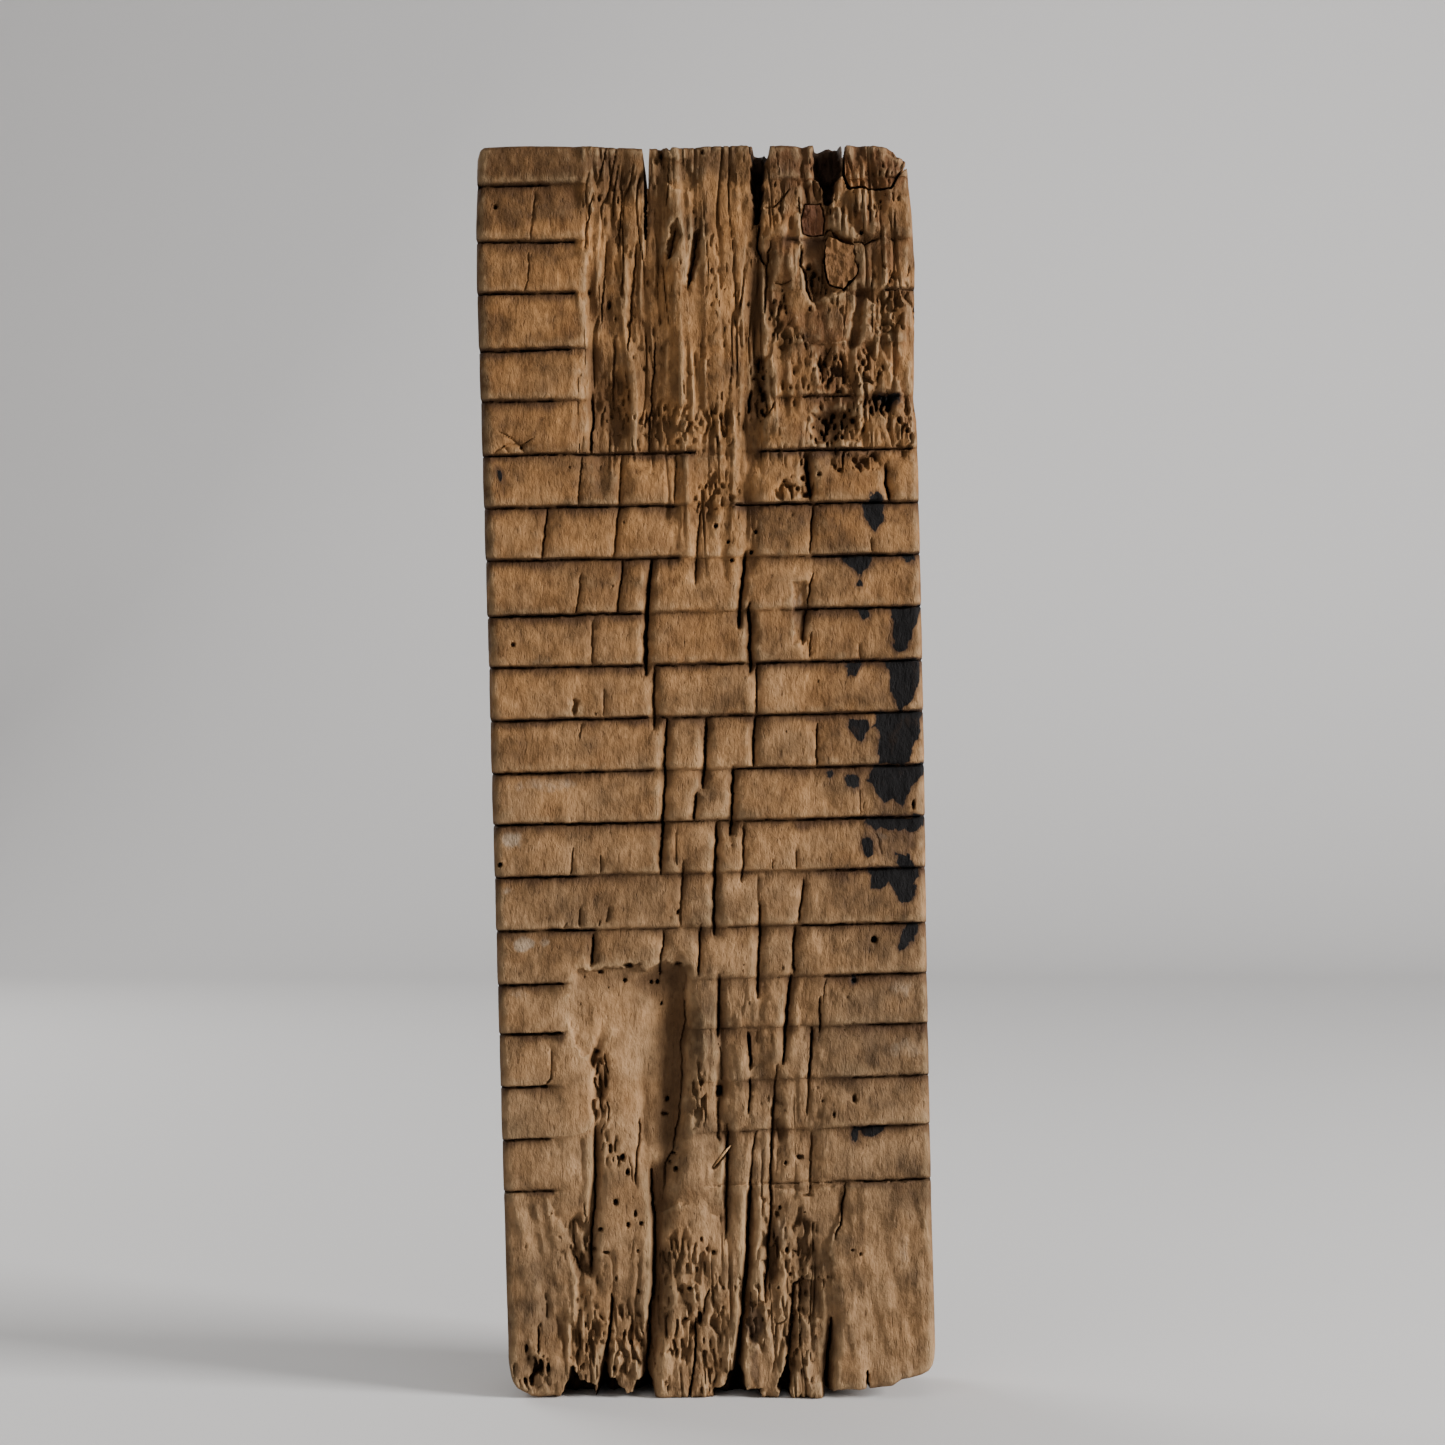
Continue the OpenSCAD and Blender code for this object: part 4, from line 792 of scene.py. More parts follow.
def front_face():
    """The whole front: ribs and waves, wear, splits and pits, then the saw cuts and the rounded edges."""
    f = Face(FRONT_REACH, FRONT_CELL)
    U, V = f.U, f.V
    f.relief += rib_relief(U, V) + 0.9 * ease(88, 78, V)
    # The smooth panels of the foot keep the long shallow waves of the hewing
    hewn = ease(88, 76, V) * np.maximum(ease(46, 52, U), ease(-60, -68, U))
    f.relief += hewn * (1.3 * layered(U / 7 + V / 45, V / 26, 28) + 0.7 * np.abs(field(U / 4.5 + V / 30, V / 26, 29)))
    for size, wide, tall, seed in ((0.7, 30, 34, 21), (0.48, 8, 7, 22), (0.20, 3.2, 2.8, 24)):
        f.relief += size * layered(U / wide, V / tall, seed)
    upper, rot, foot, band = worn_zones(U, V)
    f.relief += upper * 0.7 * steps(3.2 * field(U / 7 + 0.4 * field(U / 9, V / 40, 15), V / 130, 16), 0.22)
    for zone, sunk, size, wide, tall, seed in ((upper, 1.8, 0.9, 8, 120, 23), (rot, 1.2, 1.2, 8, 24, 25),
                                               (band, 1.2, 1.0, 9, 26, 26), (foot, 0.8, 0.9, 8, 24, 27)):
        f.relief += zone * (sunk + size * layered(U / wide, V / tall, seed))
    for rows in HOLLOWS:
        f.hollow(rows)
    for row in LEDGES:
        f.ledge(*row)
    open_fibres(f, upper, rot, foot, band)
    for w0, w1, deep, path in SPLITS:
        fresh = FRESH_RIBS[0] < path[0][1] < FRESH_RIBS[1]
        f.split(w0, w1, deep, path, round_off=float(np.clip(0.46 * (deep - 2.4), 0.25, 2.7)) * (1 if fresh else 0.5))
    for row in SUNK:
        f.sink(*row)
    for row in PITS:
        f.pit(*row)
    for k, row in enumerate(EATEN):
        f.eat(*row, seed=400 + 3 * k)
    for row in SCATTER:
        f.pit_scatter(*row)
    saw(f)
    round_edges(f)
    return f


def masks_of(f, small=1.6, large=8.0):
    """Masks that follow the relief: painted shade in cuts, pale crests from rubbed wear with a painted highlight,
    painted shade in broad hollows and beside the cuts.
    """
    def soft(grid, reach):
        return blurred(grid, reach / f.cell)

    # Painted shade in cuts and pits, darker the deeper they go
    f.masks["recess"] = ease(1.0, 6.0, f.cuts)
    # Pale crests: rubbed wear and a painted highlight
    f.masks["ridge"] = np.clip((soft(f.relief, small) - f.relief) / 0.8, 0, 1)
    # Painted shade in broad hollows and beside the cuts
    shallow = np.minimum(f.cuts, 5)
    beside = soft(shallow, 1.4) - 0.35 * soft(shallow, 4.0)
    f.masks["shade"] = np.clip((soft(f.relief, 1.2) - soft(f.relief, large)) / 2.0 + 0.42 * beside, 0, 1)


def soft_spots(f, spots, name, seed):
    """Soft oval spots, broken up by noise, as a mask."""
    total = np.zeros(f.U.shape)
    for u, v, ru, rv, strength in spots:
        w = f.near([(u, v)], 2.2 * max(ru, rv) + 2)
        U, V = f.U[w], f.V[w]
        d = np.hypot((U - u) / ru, (V - v) / rv) + 0.3 * field(U / 1.7, V / 2.4, seed)
        total[w] = np.maximum(total[w], strength * ease(1.25, 0.55, d))
    f.masks[name] = total


def front_masks(f):
    """Masks of the front: those that follow the relief, with painted shade and a painted highlight, pitch, stains and
    dust at their places, dirty bands with painted shade under the saw cuts, rot, tone and warmth."""
    U, V = f.U, f.V
    masks_of(f)
    pitch = np.full(U.shape, -4.0)
    for outline in PITCH:
        w = f.near(outline, 5)
        shake = 1.1 * field(U[w] / 2.0, V[w] / 2.6, 81) + 0.65 * field(U[w] / 0.9, V[w] / 1.3, 82)
        pitch[w] = np.maximum(pitch[w], outline_distance(U[w], V[w], outline) + shake)
    f.masks["pitch"] = np.clip(pitch / 8 + 0.5, 0, 1)
    soft_spots(f, STAINS, "stain", 83)
    soft_spots(f, DUST, "dust", 84)
    # Dirty bands with painted shade just under each saw cut, where the lip of the rib above overhangs
    grime = np.zeros(U.shape)
    for k, (_, _, runs) in enumerate(KERFS):
        below = kerf_line(k, U) - V
        reach = 5.0 + 2.6 * field(U / 5.1, V * 0 + k, 91) + 1.2 * field(U / 1.6, V * 0 + k, 92)
        dirt_and_lip_shade = ease(-1.6, -0.4, below) * ease(reach, 0.0, below)
        for x0, x1, strength in runs:
            stretch = ease(x0 - 2, x0, U) * ease(x1 + 2, x1, U) * min(1, 0.35 + 0.65 * strength)
            grime = np.maximum(grime, dirt_and_lip_shade * stretch)
    f.masks["grime"] = grime * (0.90 + 0.35 * field(U / 14, V / 9, 95))
    rot = ease(20, 36, U + 5 * field(U / 20, V / 20, 93)) * ease(374, 392, V)
    f.masks["rot"] = rot * (0.55 + 0.45 * field(U / 6, V / 8, 94))
    # Tone: darker near the top, paler towards the foot and in the hollow at the lower left; darker along the left
    # arris, partly the wood's brown and partly painted shade where the rounded edge turns away from the light
    tone = 0.46 + 0.14 * ease(480, 260, V) - 0.26 * ease(478, 500, V)
    tone = tone - ease(-82, -86.5, U) * (0.20 + 0.16 * ease(270, 330, V)) - 0.12 * ease(20, 80, U) * ease(200, 150, V)
    for u, v, ru, rv, strength in TONES:
        tone = tone + strength * ease(1.4, 0.2, np.hypot((U - u) / ru, (V - v) / rv))
    f.masks["tone"] = np.clip(tone + 0.30 * layered(U / 13, V / 9, 96) + 0.17 * layered(U / 3.2, V / 3.6, 98), 0, 1)
    f.masks["warm"] = np.clip(ease(60, 470, V) + 0.34 * layered(U / 15, V / 12, 97), 0, 1)


def plain_face(reach, seed, saw_marks=0.0, grain=0.35):
    """A side or the back: hewn waves, raised fibres along the plank, faint saw marks."""
    f = Face(reach, PLAIN_CELL)
    U, V = f.U, f.V
    f.relief += 0.7 + 0.6 * layered(U / 22, V / 60, seed) + 0.25 * layered(U / 6, V / 40, seed + 9)
    f.relief += grain * (0.5 + layered(U / 1.9, V / 30, seed + 3))
    faint = 0.5 + 0.5 * field(U / 20, V / 40, seed + 7)
    f.relief += saw_marks * 0.18 * np.sin(V * 1.9 + 2 * field(U / 30, V / 30, seed + 6)) * faint
    return f


# ---------------------------------------------------------------- meshes
def place(points):
    """Board millimetres to the frame: leant towards -X, shifted and in metres."""
    x, y, z = points.T
    return np.stack([x * math.cos(LEAN) - z * math.sin(LEAN) + SHIFT_X, y,
                     z * math.cos(LEAN) + x * math.sin(LEAN)], 1) * MM


def mesh_from(name, points, triangles):
    """Mesh of plain triangles."""
    mesh = bpy.data.meshes.new(name)
    mesh.vertices.add(len(points))
    mesh.vertices.foreach_set("co", np.ascontiguousarray(points, np.float32).ravel())
    mesh.loops.add(triangles.size)
    mesh.loops.foreach_set("vertex_index", np.ascontiguousarray(triangles, np.int32).ravel())
    mesh.polygons.add(len(triangles))
    mesh.polygons.foreach_set("loop_start", np.arange(0, triangles.size, 3, dtype=np.int32))
    mesh.update(calc_edges=True)
    mesh.validate()
    return mesh


def link(name, mesh):
    """The mesh as an object in the scene."""
    piece = bpy.data.objects.new(name, mesh)
    bpy.context.scene.collection.objects.link(piece)
    return piece


def thinned(name, mesh, target):
    """The mesh with about target triangles: flat stretches lose theirs, edges keep them."""
    piece = link(name + "_dense", mesh)
    count = len(mesh.polygons)
    if count > target:
        thin = piece.modifiers.new("thin", "DECIMATE")
        thin.ratio = target / count
        thin.use_collapse_triangulate = True
    graph = bpy.context.evaluated_depsgraph_get()
    lean = bpy.data.meshes.new_from_object(piece.evaluated_get(graph))
    lean.name = name
    bpy.data.objects.remove(piece)
    bpy.data.meshes.remove(mesh)
    return lean


def coordinates(mesh):
    """All vertices of a mesh, one per row."""
    co = np.empty(len(mesh.vertices) * 3, np.float32)
    mesh.vertices.foreach_get("co", co)
    return co.reshape(-1, 3).astype(float)


def quads_to_triangles(a, b, c, d):
    """Each quad a, b, c, d as two triangles."""
    return np.concatenate([np.stack([a, b, c], -1).reshape(-1, 3), np.stack([a, c, d], -1).reshape(-1, 3)])


def loop_block():
    """Closed block wrapped round the plank: each row is a loop along the front, the right side, the back and
    the left side, and caps close both ends. Heights stretch near both ends to meet the end outlines."""
    nf, nb, deep = COLUMNS - 1, (COLUMNS - 1) // BACK_STEP, SIDE_COLUMNS
    zn = np.linspace(0, 1, ROWS)[:, None] * HEIGHT
    left, right = edge(LEFT_EDGE)(zn), edge(RIGHT_EDGE)(zn)
    t = np.arange(1, deep + 1) / (deep + 1)
    t = t - 0.10 * np.sin(2 * np.pi * t)

    def height(x):
        z = zn + np.clip(1 - zn / FOOT_STRETCH, 0, 1) * np.maximum(edge(FOOT_EDGE)(x), floor_line(x))
        return z + np.clip((zn - (HEIGHT - TOP_STRETCH)) / TOP_STRETCH, 0, 1) * (edge(TOP_EDGE)(x) - HEIGHT)

    def side(x, y_from, y_to, s):
        x, y = np.repeat(x, deep, 1), y_from * (1 - t) + y_to * t
        z = height(x)
        return x - s * sides[s].sample(sides[s].depth, y, z) * np.sin(np.pi * t) ** 0.5, y, z

    xf = left + (right - left) * np.linspace(0, 1, nf + 1)
    zf = height(xf)
    yf = np.minimum(-HALF + front.sample(front.depth, xf, zf), HALF - 8)
    xb = left + (right - left) * np.linspace(1, 0, nb + 1)
    zb = height(xb)
    yb = HALF - back.sample(back.depth, xb, zb)
    right_side, left_side = side(right, yf[:, -1:], yb[:, :1], 1), side(left, yb[:, -1:], yf[:, :1], -1)
    parts = zip((xf, yf, zf), right_side, (xb, yb, zb), left_side)
    loops = np.stack([np.concatenate(part, 1) for part in parts], -1)
    size = loops.shape[1]
    count = ROWS * size
    points = [loops.reshape(-1, 3)]
    index = np.arange(count).reshape(ROWS, size)
    nxt = np.roll(index, -1, 1)
    triangles = [quads_to_triangles(index[:-1], nxt[:-1], nxt[1:], index[1:])]

    for row, top in ((0, False), (ROWS - 1, True)):
        c = np.empty((deep + 1, nf + 1), int)
        c[0] = index[row, :nf + 1]
        c[1:, nf] = index[row, nf + 1:nf + 1 + deep]
        c[1:, 0] = index[row, size - 1:size - 1 - deep:-1]
        c[1:, 1:nf] = count + np.arange(deep * (nf - 1)).reshape(deep, nf - 1)
        count += deep * (nf - 1)
        s = t[:, None]
        x = np.repeat(xf[row][None, 1:nf], deep, 0)
        y = yf[row][None, 1:nf] * (1 - s) + np.interp(xf[row], xb[row][::-1], yb[row][::-1])[None, 1:nf] * s
        bumps = 0.45 * layered(x / 5, y / 5, 101) + 0.25 * field(x / 1.2, y / 2, 103) - 0.35
        z = zf[row][None, 1:nf] + top * bumps * np.sin(np.pi * s) ** 0.4
        points.append(np.stack([x, y, z], -1).reshape(-1, 3))
        flat = quads_to_triangles(c[:-1, :-1], c[:-1, 1:], c[1:, 1:], c[1:, :-1])
        # The last strip joins the front's columns to the fewer ones of the back
        back_row = index[row, nf + 1 + deep + nb - np.arange(nb + 1)]
        f0, f1, f2, f3 = (c[-1][BACK_STEP * np.arange(nb) + j] for j in range(BACK_STEP + 1))
        b0, b1 = back_row[:-1], back_row[1:]
        strip = [np.stack(q, -1) for q in ((f0, f1, b0), (f1, f2, b0), (f2, b1, b0), (f2, f3, b1))]
        cap = np.concatenate([flat] + strip)
        triangles.append(cap if top else cap[:, ::-1])
    return np.concatenate(points), np.concatenate(triangles)


front = front_face()
front_masks(front)
sides = {1: plain_face(SIDE_REACH, 201), -1: plain_face(SIDE_REACH, 211)}
back = plain_face(FRONT_REACH, 221, saw_marks=1.0, grain=0.4)
for s, face in sides.items():
    face.split(2.0, 2.8, 5, [(4 * s, 470), (5 * s, 420), (3 * s, 372)], seed=301)
    face.split(1.8, 2.6, 4, [(12, 260), (11, 214), (13, 170)], seed=303)
    face.split(1.8, 3.0, 6, [(-6, 70), (-5, 30), (-6, 2)], seed=305)
    face.pit_scatter(16, (-18, 20, 20, 480), (0.6, 1.0), 4, 1.1, 307 + s)
for path in ([(-19.8, 506), (-20.4, 470), (-21, 420)], [(26, 506), (25, 470), (26, 440)],
             [(-44, -2), (-43, 60), (-45, 118)], [(12, -2), (13, 40), (12, 96)], [(48, 300), (47, 240), (48.6, 180)],
             [(-66, 380), (-65, 330), (-66, 262)], [(4, 380), (5, 330), (3.5, 290)], [(58, -2), (59, 50), (58, 80)]):
    back.split(2.6, 3.8, 5, path, seed=311)
back.pit_scatter(46, (-80, 80, 14, 490), (0.55, 1.0), 5, 1.1, 313)
for face in (sides[1], sides[-1], back):
    masks_of(face, 2.4, 9)
for face in (front, back, sides[1], sides[-1]):
    face.depth = face.relief + face.cuts


def cut_seats(f):
    """Sinks the seat of the corner chunk, the pocket with the seats of its flakes, and the splinter's groove, and
    paints shade into the seat, the cracks round the flakes and the groove.
    """
    U, V = f.U, f.V
    seat = outline_distance(U, V, SEAT)
    pocket = outline_distance(U, V, POCKET) + 0.8 * field(U / 2, V / 2, 122)
    stray_u, stray_v = tremble(U, V)
    under = np.maximum(*(outline_distance(U - stray_u, V - stray_v, flake) for flake in (UPPER_FLAKE, LOWER_FLAKE)))
    crack = under + 0.35 * field(U / 1.3, V / 1.3, 125) + 0.4 * field(U / 4, V / 4, 126)
    torn = 3.2 + 1.3 * layered(U / 3, V / 5, 121) + 1.2 * grooves(U, V, 3, 8, 123)
    beside, _, _ = path_distance(U, V, SPLINTER)
    for deep in (SEAT_DEEP * ease(-0.25, 0.35, seat),
                 (torn + (POCKET_DEEP - torn) * ease(-0.7, 0.0, crack)) * ease(-0.6, 0.6, pocket),
                 GROOVE_DEEP * ease(1.3, 0.5, beside + 0.3 * field(U / 1.4, V / 1.4, 127))):
        f.depth = np.maximum(f.depth, deep)
    # Painted shade: the seat, the cracks round the flakes and the splinter's groove are darkened
    dark = np.maximum(ease(-0.3, 0.5, seat), ease(-0.6, -0.1, under + 0.4 * field(U / 3, V / 3, 129)))
    dark = np.maximum(dark, 0.6 * ease(1.3, 0.5, beside))
    for name in ("recess", "shade"):
        f.masks[name] = np.maximum(f.masks[name], dark)


# The corner chunk keeps the skin that the front had before its seat was cut
skin, skin_masks = front.depth, dict(front.masks)
cut_seats(front)


def floor_line(x):
    """Where the level floor lies under the leaning plank."""
    return -x * math.tan(LEAN)


def paint(mesh, depth, masks):
    """Writes each mask of the nearest face onto the mesh as an attribute."""
    x, y, z = coordinates(mesh).T
    near_edge = np.minimum(x - edge(LEFT_EDGE)(z), edge(RIGHT_EDGE)(z) - x) < 0.8
    frontal = ease(2.5, 0.8, np.abs(y + HALF - front.sample(depth, x, z))) * ~(near_edge & (y > -HALF + 9))
    on_back = np.abs(y - HALF + back.sample(back.depth, x, z)) < 1.0
    # Walls deep inside the wood take the painted shade of the floor beside them
    inner = ~near_edge & (y < HALF - 3) & (y > -HALF + 4)
    unseen = {"tone": 0.50 + 0.16 * layered((x + y) / 16, z / 40, 191) + 0.07 * layered((x - y) / 3, z / 9, 195),
              "warm": 0.55 + 0.25 * layered(x / 30, z / 50, 197)}
    for name in MASKS:
        value = front.sample(masks[name], x, z)
        other = unseen.get(name, np.zeros(len(x)))
        if name in back.masks:
            left, right = (sides[s].sample(sides[s].masks[name], y, z) for s in (-1, 1))
            other = np.where(on_back, back.sample(back.masks[name], x, z), np.where(x > 0, right, left))
        if name in ("recess", "shade"):
            other = np.where(inner, np.maximum(other, value), other)
        attribute = mesh.attributes.new(name, "FLOAT", "POINT")
        attribute.data.foreach_set("value", (value * frontal + other * (1 - frontal)).astype(np.float32))


def finish_mesh(mesh, sharp=48):
    """Moves a board-millimetre mesh into the frame and marks its sharp edges."""
    p = place(coordinates(mesh))
    mesh.vertices.foreach_set("co", p.astype(np.float32).ravel())
    mesh.polygons.foreach_set("use_smooth", np.ones(len(mesh.polygons), bool))
    mesh.set_sharp_from_angle(angle=math.radians(sharp))
    mesh.update()
    return mesh


def chunk(outline_low, outline_high, face_depth, back_depth, seed, columns=90, rows=60, deep=16, ragged=False):
    """Closed broken chunk between a lower and an upper outline: front follows the given depth, the other
    sides are rough breaks. The two outlines are read at the same share of their length."""
    s = np.linspace(0, 1, columns + 1)

    def along(outline):
        p = np.array(outline, float)
        run = np.r_[0, np.cumsum(np.hypot(*(p[1:] - p[:-1]).T))]
        return np.interp(s, run / run[-1], p[:, 0]), np.interp(s, run / run[-1], p[:, 1])

    (xl, zl), (xh, zh) = along(outline_low), along(outline_high)
    t = np.linspace(0, 1, rows + 1)[:, None]
    X, Z = xl * (1 - t) + xh * t, zl * (1 - t) + zh * t
    if ragged:
        stray_x, stray_z = tremble(X, Z)
        X, Z = X + stray_x, Z + stray_z
    q = np.linspace(0, 1, deep + 1)[:, None, None]
    Y = (-HALF + face_depth(X, Z)) * (1 - q) + (-HALF + back_depth) * q
    P = np.stack(np.broadcast_arrays(X, Y, Z), -1)
    # Only the shell is used; its walls are roughened inwards between front and back
    inwards = 0.35 * np.sin(np.pi * np.clip(q, 0.02, 0.98)) \
        * (0.6 + layered(P[..., 1] / 3 + 5, (P[..., 0] + P[..., 2]) / 3, seed))
    dx, dz = P[..., 0] - X.mean(), P[..., 2] - Z.mean()
    r = np.hypot(dx, dz) + 1e-6
    P[..., 0] -= inwards * dx / r
    P[..., 2] -= inwards * dz / r
    index = np.arange(P[..., 0].size).reshape(P.shape[:3])
    faces = []
    for a, flip in ((index[0], False), (index[-1], True), (index[:, 0], True), (index[:, -1], False),
                    (index[:, :, 0], False), (index[:, :, -1], True)):
        quads = quads_to_triangles(a[:-1, :-1], a[:-1, 1:], a[1:, 1:], a[1:, :-1])
        faces.append(quads[:, ::-1] if flip else quads)
    used, remap = np.unique(np.concatenate(faces), return_inverse=True)
    return P.reshape(-1, 3)[used], remap.reshape(-1, 3)


# ---------------------------------------------------------------- materials
class Signal:
    """Output of a shader node, which can be added, subtracted and multiplied."""

    def __init__(self, kit, socket):
        self.kit, self.socket = kit, socket

    def __add__(self, other):
        return self.kit.math("ADD", self, other)

    def __sub__(self, other):
        return self.kit.math("SUBTRACT", self, other)

    def __mul__(self, other):
        return self.kit.math("MULTIPLY", self, other)


class Wires:
    """Short names for making and joining shader nodes."""

    def __init__(self, tree):
        self.tree = tree

    def node(self, kind, inputs=None, **settings):
        n = self.tree.nodes.new(kind)
        for key, value in settings.items():
            setattr(n, key, value)
        for key, value in (inputs or {}).items():
            self.put(n.inputs[key], value)
        return n

    def put(self, socket, value):
        if isinstance(value, Signal):
            self.tree.links.new(value.socket, socket)
        else:
            socket.default_value = (*value, 1) if socket.type == "RGBA" else value

    def make(self, kind, inputs, output=0, **settings):
        """One output of a new node."""
        return Signal(self, self.node(kind, inputs, **settings).outputs[output])

    def group(self, tree, **inputs):
        """All outputs of a node group, by name."""
        n = self.node("ShaderNodeGroup", node_tree=tree)
        for key, value in inputs.items():
            self.put(n.inputs[key], value)
        return {socket.name: Signal(self, socket) for socket in n.outputs}

    def math(self, operation, *values):
        return self.make("ShaderNodeMath", dict(enumerate(values)), operation=operation)

    def ramp(self, value, low, high, to_low=0.0, to_high=1.0):
        """S-curve from to_low to to_high while the value goes from low to high."""
        inputs = {"Value": value, "From Min": low, "From Max": high, "To Min": to_low, "To Max": to_high}
        return self.make("ShaderNodeMapRange", inputs, "Result", interpolation_type="SMOOTHSTEP")

    def mix(self, factor, a, b, how="MIX"):
        return self.make("ShaderNodeMix", {0: factor, 6: a, 7: b}, 2, data_type="RGBA", blend_type=how)

    def noise(self, where, scale, detail, rough, stretch):
        """Noise whose features are 1 / stretch times as long up the plank as across it."""
        placed = self.make("ShaderNodeMapping", {"Vector": where, "Scale": (1, 1, stretch)})
        inputs = {"Vector": placed, "Scale": scale, "Detail": detail, "Roughness": rough}
        return self.make("ShaderNodeTexNoise", inputs, "Fac")


def group_of(name, inputs, outputs, build):
    """Shader node group with named sockets; build turns its inputs into its outputs."""
    tree = bpy.data.node_groups.new(name, "ShaderNodeTree")
    for way, sockets in (("INPUT", inputs), ("OUTPUT", outputs)):
        for label, (kind, value) in sockets.items():
            socket = tree.interface.new_socket(name=label, in_out=way, socket_type="NodeSocket" + kind)
            if value is not None:
                socket.default_value = value
    k = Wires(tree)
    source, sink = k.node("NodeGroupInput"), k.node("NodeGroupOutput")
    results = build(k, {socket.name: Signal(k, socket) for socket in source.outputs if socket.name})
    for label, value in results.items():
        k.put(sink.inputs[label], value)
    return tree


RINGS_PER_M = 260.0
HEART = (-0.028, 0.085)      # m: where the middle of the tree lay, behind the plank


def grain_of(k, s):
    """Growth rings about the heart, short raised fibres along the plank, pores and blotches."""
    where = s["Where"]
    x, y = (k.make("ShaderNodeSeparateXYZ", {0: where}, axis) - HEART[axis] for axis in (0, 1))
    r = k.math("SQRT", x * x + y * y) + (k.noise(where, 9.0, 2, 0.5, 0.18) - 0.5) * 0.022
    saw = k.math("FRACT", r * RINGS_PER_M)
    return {
        "Ring": k.ramp(saw, 0.35, 0.95) * k.ramp(saw, 1.0, 0.96),
        "Fibre": k.noise(where, 480, 4, 0.65, 0.30),
        "Coarse": k.noise(where, 170, 5, 0.66, 0.55),
        "Pore": k.ramp(k.noise(where, 900, 2, 0.55, 0.22), 0.60, 0.72),
        "Blotch": k.noise(where, 70, 5, 0.68, 0.8),
        "Fleck": k.noise(where, 170, 5, 0.68, 0.6),
    }


GRAIN = group_of("wood_grain", {"Where": ("Vector", None)},
                 {n: ("Float", None) for n in ("Ring", "Fibre", "Coarse", "Pore", "Blotch", "Fleck")}, grain_of)

# Pale colour of crests: rubbed wear and a painted highlight
RUBBED_AND_HIGHLIGHT = (0.36, 0.245, 0.130)
ROT_BROWN = (0.125, 0.048, 0.017)
WARM_FILTER = (1.10, 0.78, 0.34)
PITCH_HALO = (0.045, 0.022, 0.012)
PITCH_BLACK = (0.0055, 0.0048, 0.0050)

# Dust, stains, dirty bands and painted shade, in the order they are laid on: mask, how ragged its edge is, the mask
# values where it starts and is full, strength, colour. The second row is painted shade in hollows and beside cuts,
# the fourth a dirty band with painted shade under each saw cut, the last painted shade in cuts
WEAR_AND_SHADE_LAYERS = [
    ("Dust", 0.8, 0.20, 0.80, 0.42, (0.36, 0.30, 0.225)),
    ("Shade", 0.3, 0.08, 1.00, 0.70, (0.062, 0.028, 0.010)),
    ("Stain", 0.8, 0.15, 0.95, 0.72, (0.036, 0.019, 0.011)),
    ("Grime", 0.7, 0.08, 0.95, 0.80, (0.046, 0.021, 0.009)),
    ("Recess", 0.2, 0.05, 0.90, 0.88, (0.022, 0.009, 0.0035)),
]


def worn_and_shaded_of(k, s):
    """Lays wear, stains and painted light over a wood colour: warmth, tone, rot, pale crests from rubbed wear with a
    painted highlight, dust, stains, dirty bands and painted shade, then pitch.
    """
    ragged = s["Fleck"] - 0.5 + (s["Fibre"] - 0.5) * 0.6
    colour = k.mix(s["Warm"] * 0.55, s["Wood"], WARM_FILTER, "MULTIPLY")
    level = k.ramp(s["Tone"] + ragged * 0.30, 0.1, 1.0, 0.40, 1.62)
    colour = k.make("ShaderNodeVectorMath", {0: colour, "Scale": level}, operation="SCALE")
    colour = k.mix(k.ramp(s["Rot"] + ragged, 0.3, 1.0) * 0.42, colour, ROT_BROWN)
    # Pale crests: rubbed wear and a painted highlight
    ridge = k.ramp(s["Ridge"] + ragged * 0.4, 0.1, 0.9) * s["Rub"]
    colour = k.mix(ridge, colour, RUBBED_AND_HIGHLIGHT)
    # Dust, stains, dirty bands and painted shade in hollows and cuts
    for mask, uneven, start, full, strength, tint in WEAR_AND_SHADE_LAYERS:
        colour = k.mix(k.ramp(s[mask] + ragged * uneven, start, full) * strength, colour, tint)
    edge_of_pitch = s["Pitch"] + ragged * 0.36
    pitch = k.ramp(edge_of_pitch, 0.485, 0.54)
    thin = k.ramp(s["Fleck"] + s["Fibre"] * 0.4, 0.95, 0.75, 0.88, 1.0)
    colour = k.mix(k.ramp(edge_of_pitch, 0.28, 0.52) * 0.62, colour, PITCH_HALO)
    colour = k.mix(pitch * thin, colour, PITCH_BLACK)
    return {"Color": colour, "Roughness": (s["Fleck"] - 0.5) * 0.25 + 0.80 - ridge * 0.15 + pitch * 0.12}


# Node group that lays wear, stains, a painted highlight on crests and painted shade over the wood
WORN_AND_SHADED_GROUP = group_of(
    "weather_and_wear",
    {"Wood": ("Color", None), "Rub": ("Float", 0.35),
     **{n: ("Float", 0.5) for n in ("Fleck", "Fibre", "Tone", "Warm")},
     **{n: ("Float", 0.0) for n in ("Recess", "Ridge", "Shade", "Pitch", "Stain", "Dust", "Grime", "Rot")}},
    {"Color": ("Color", None), "Roughness": ("Float", None)}, worn_and_shaded_of)


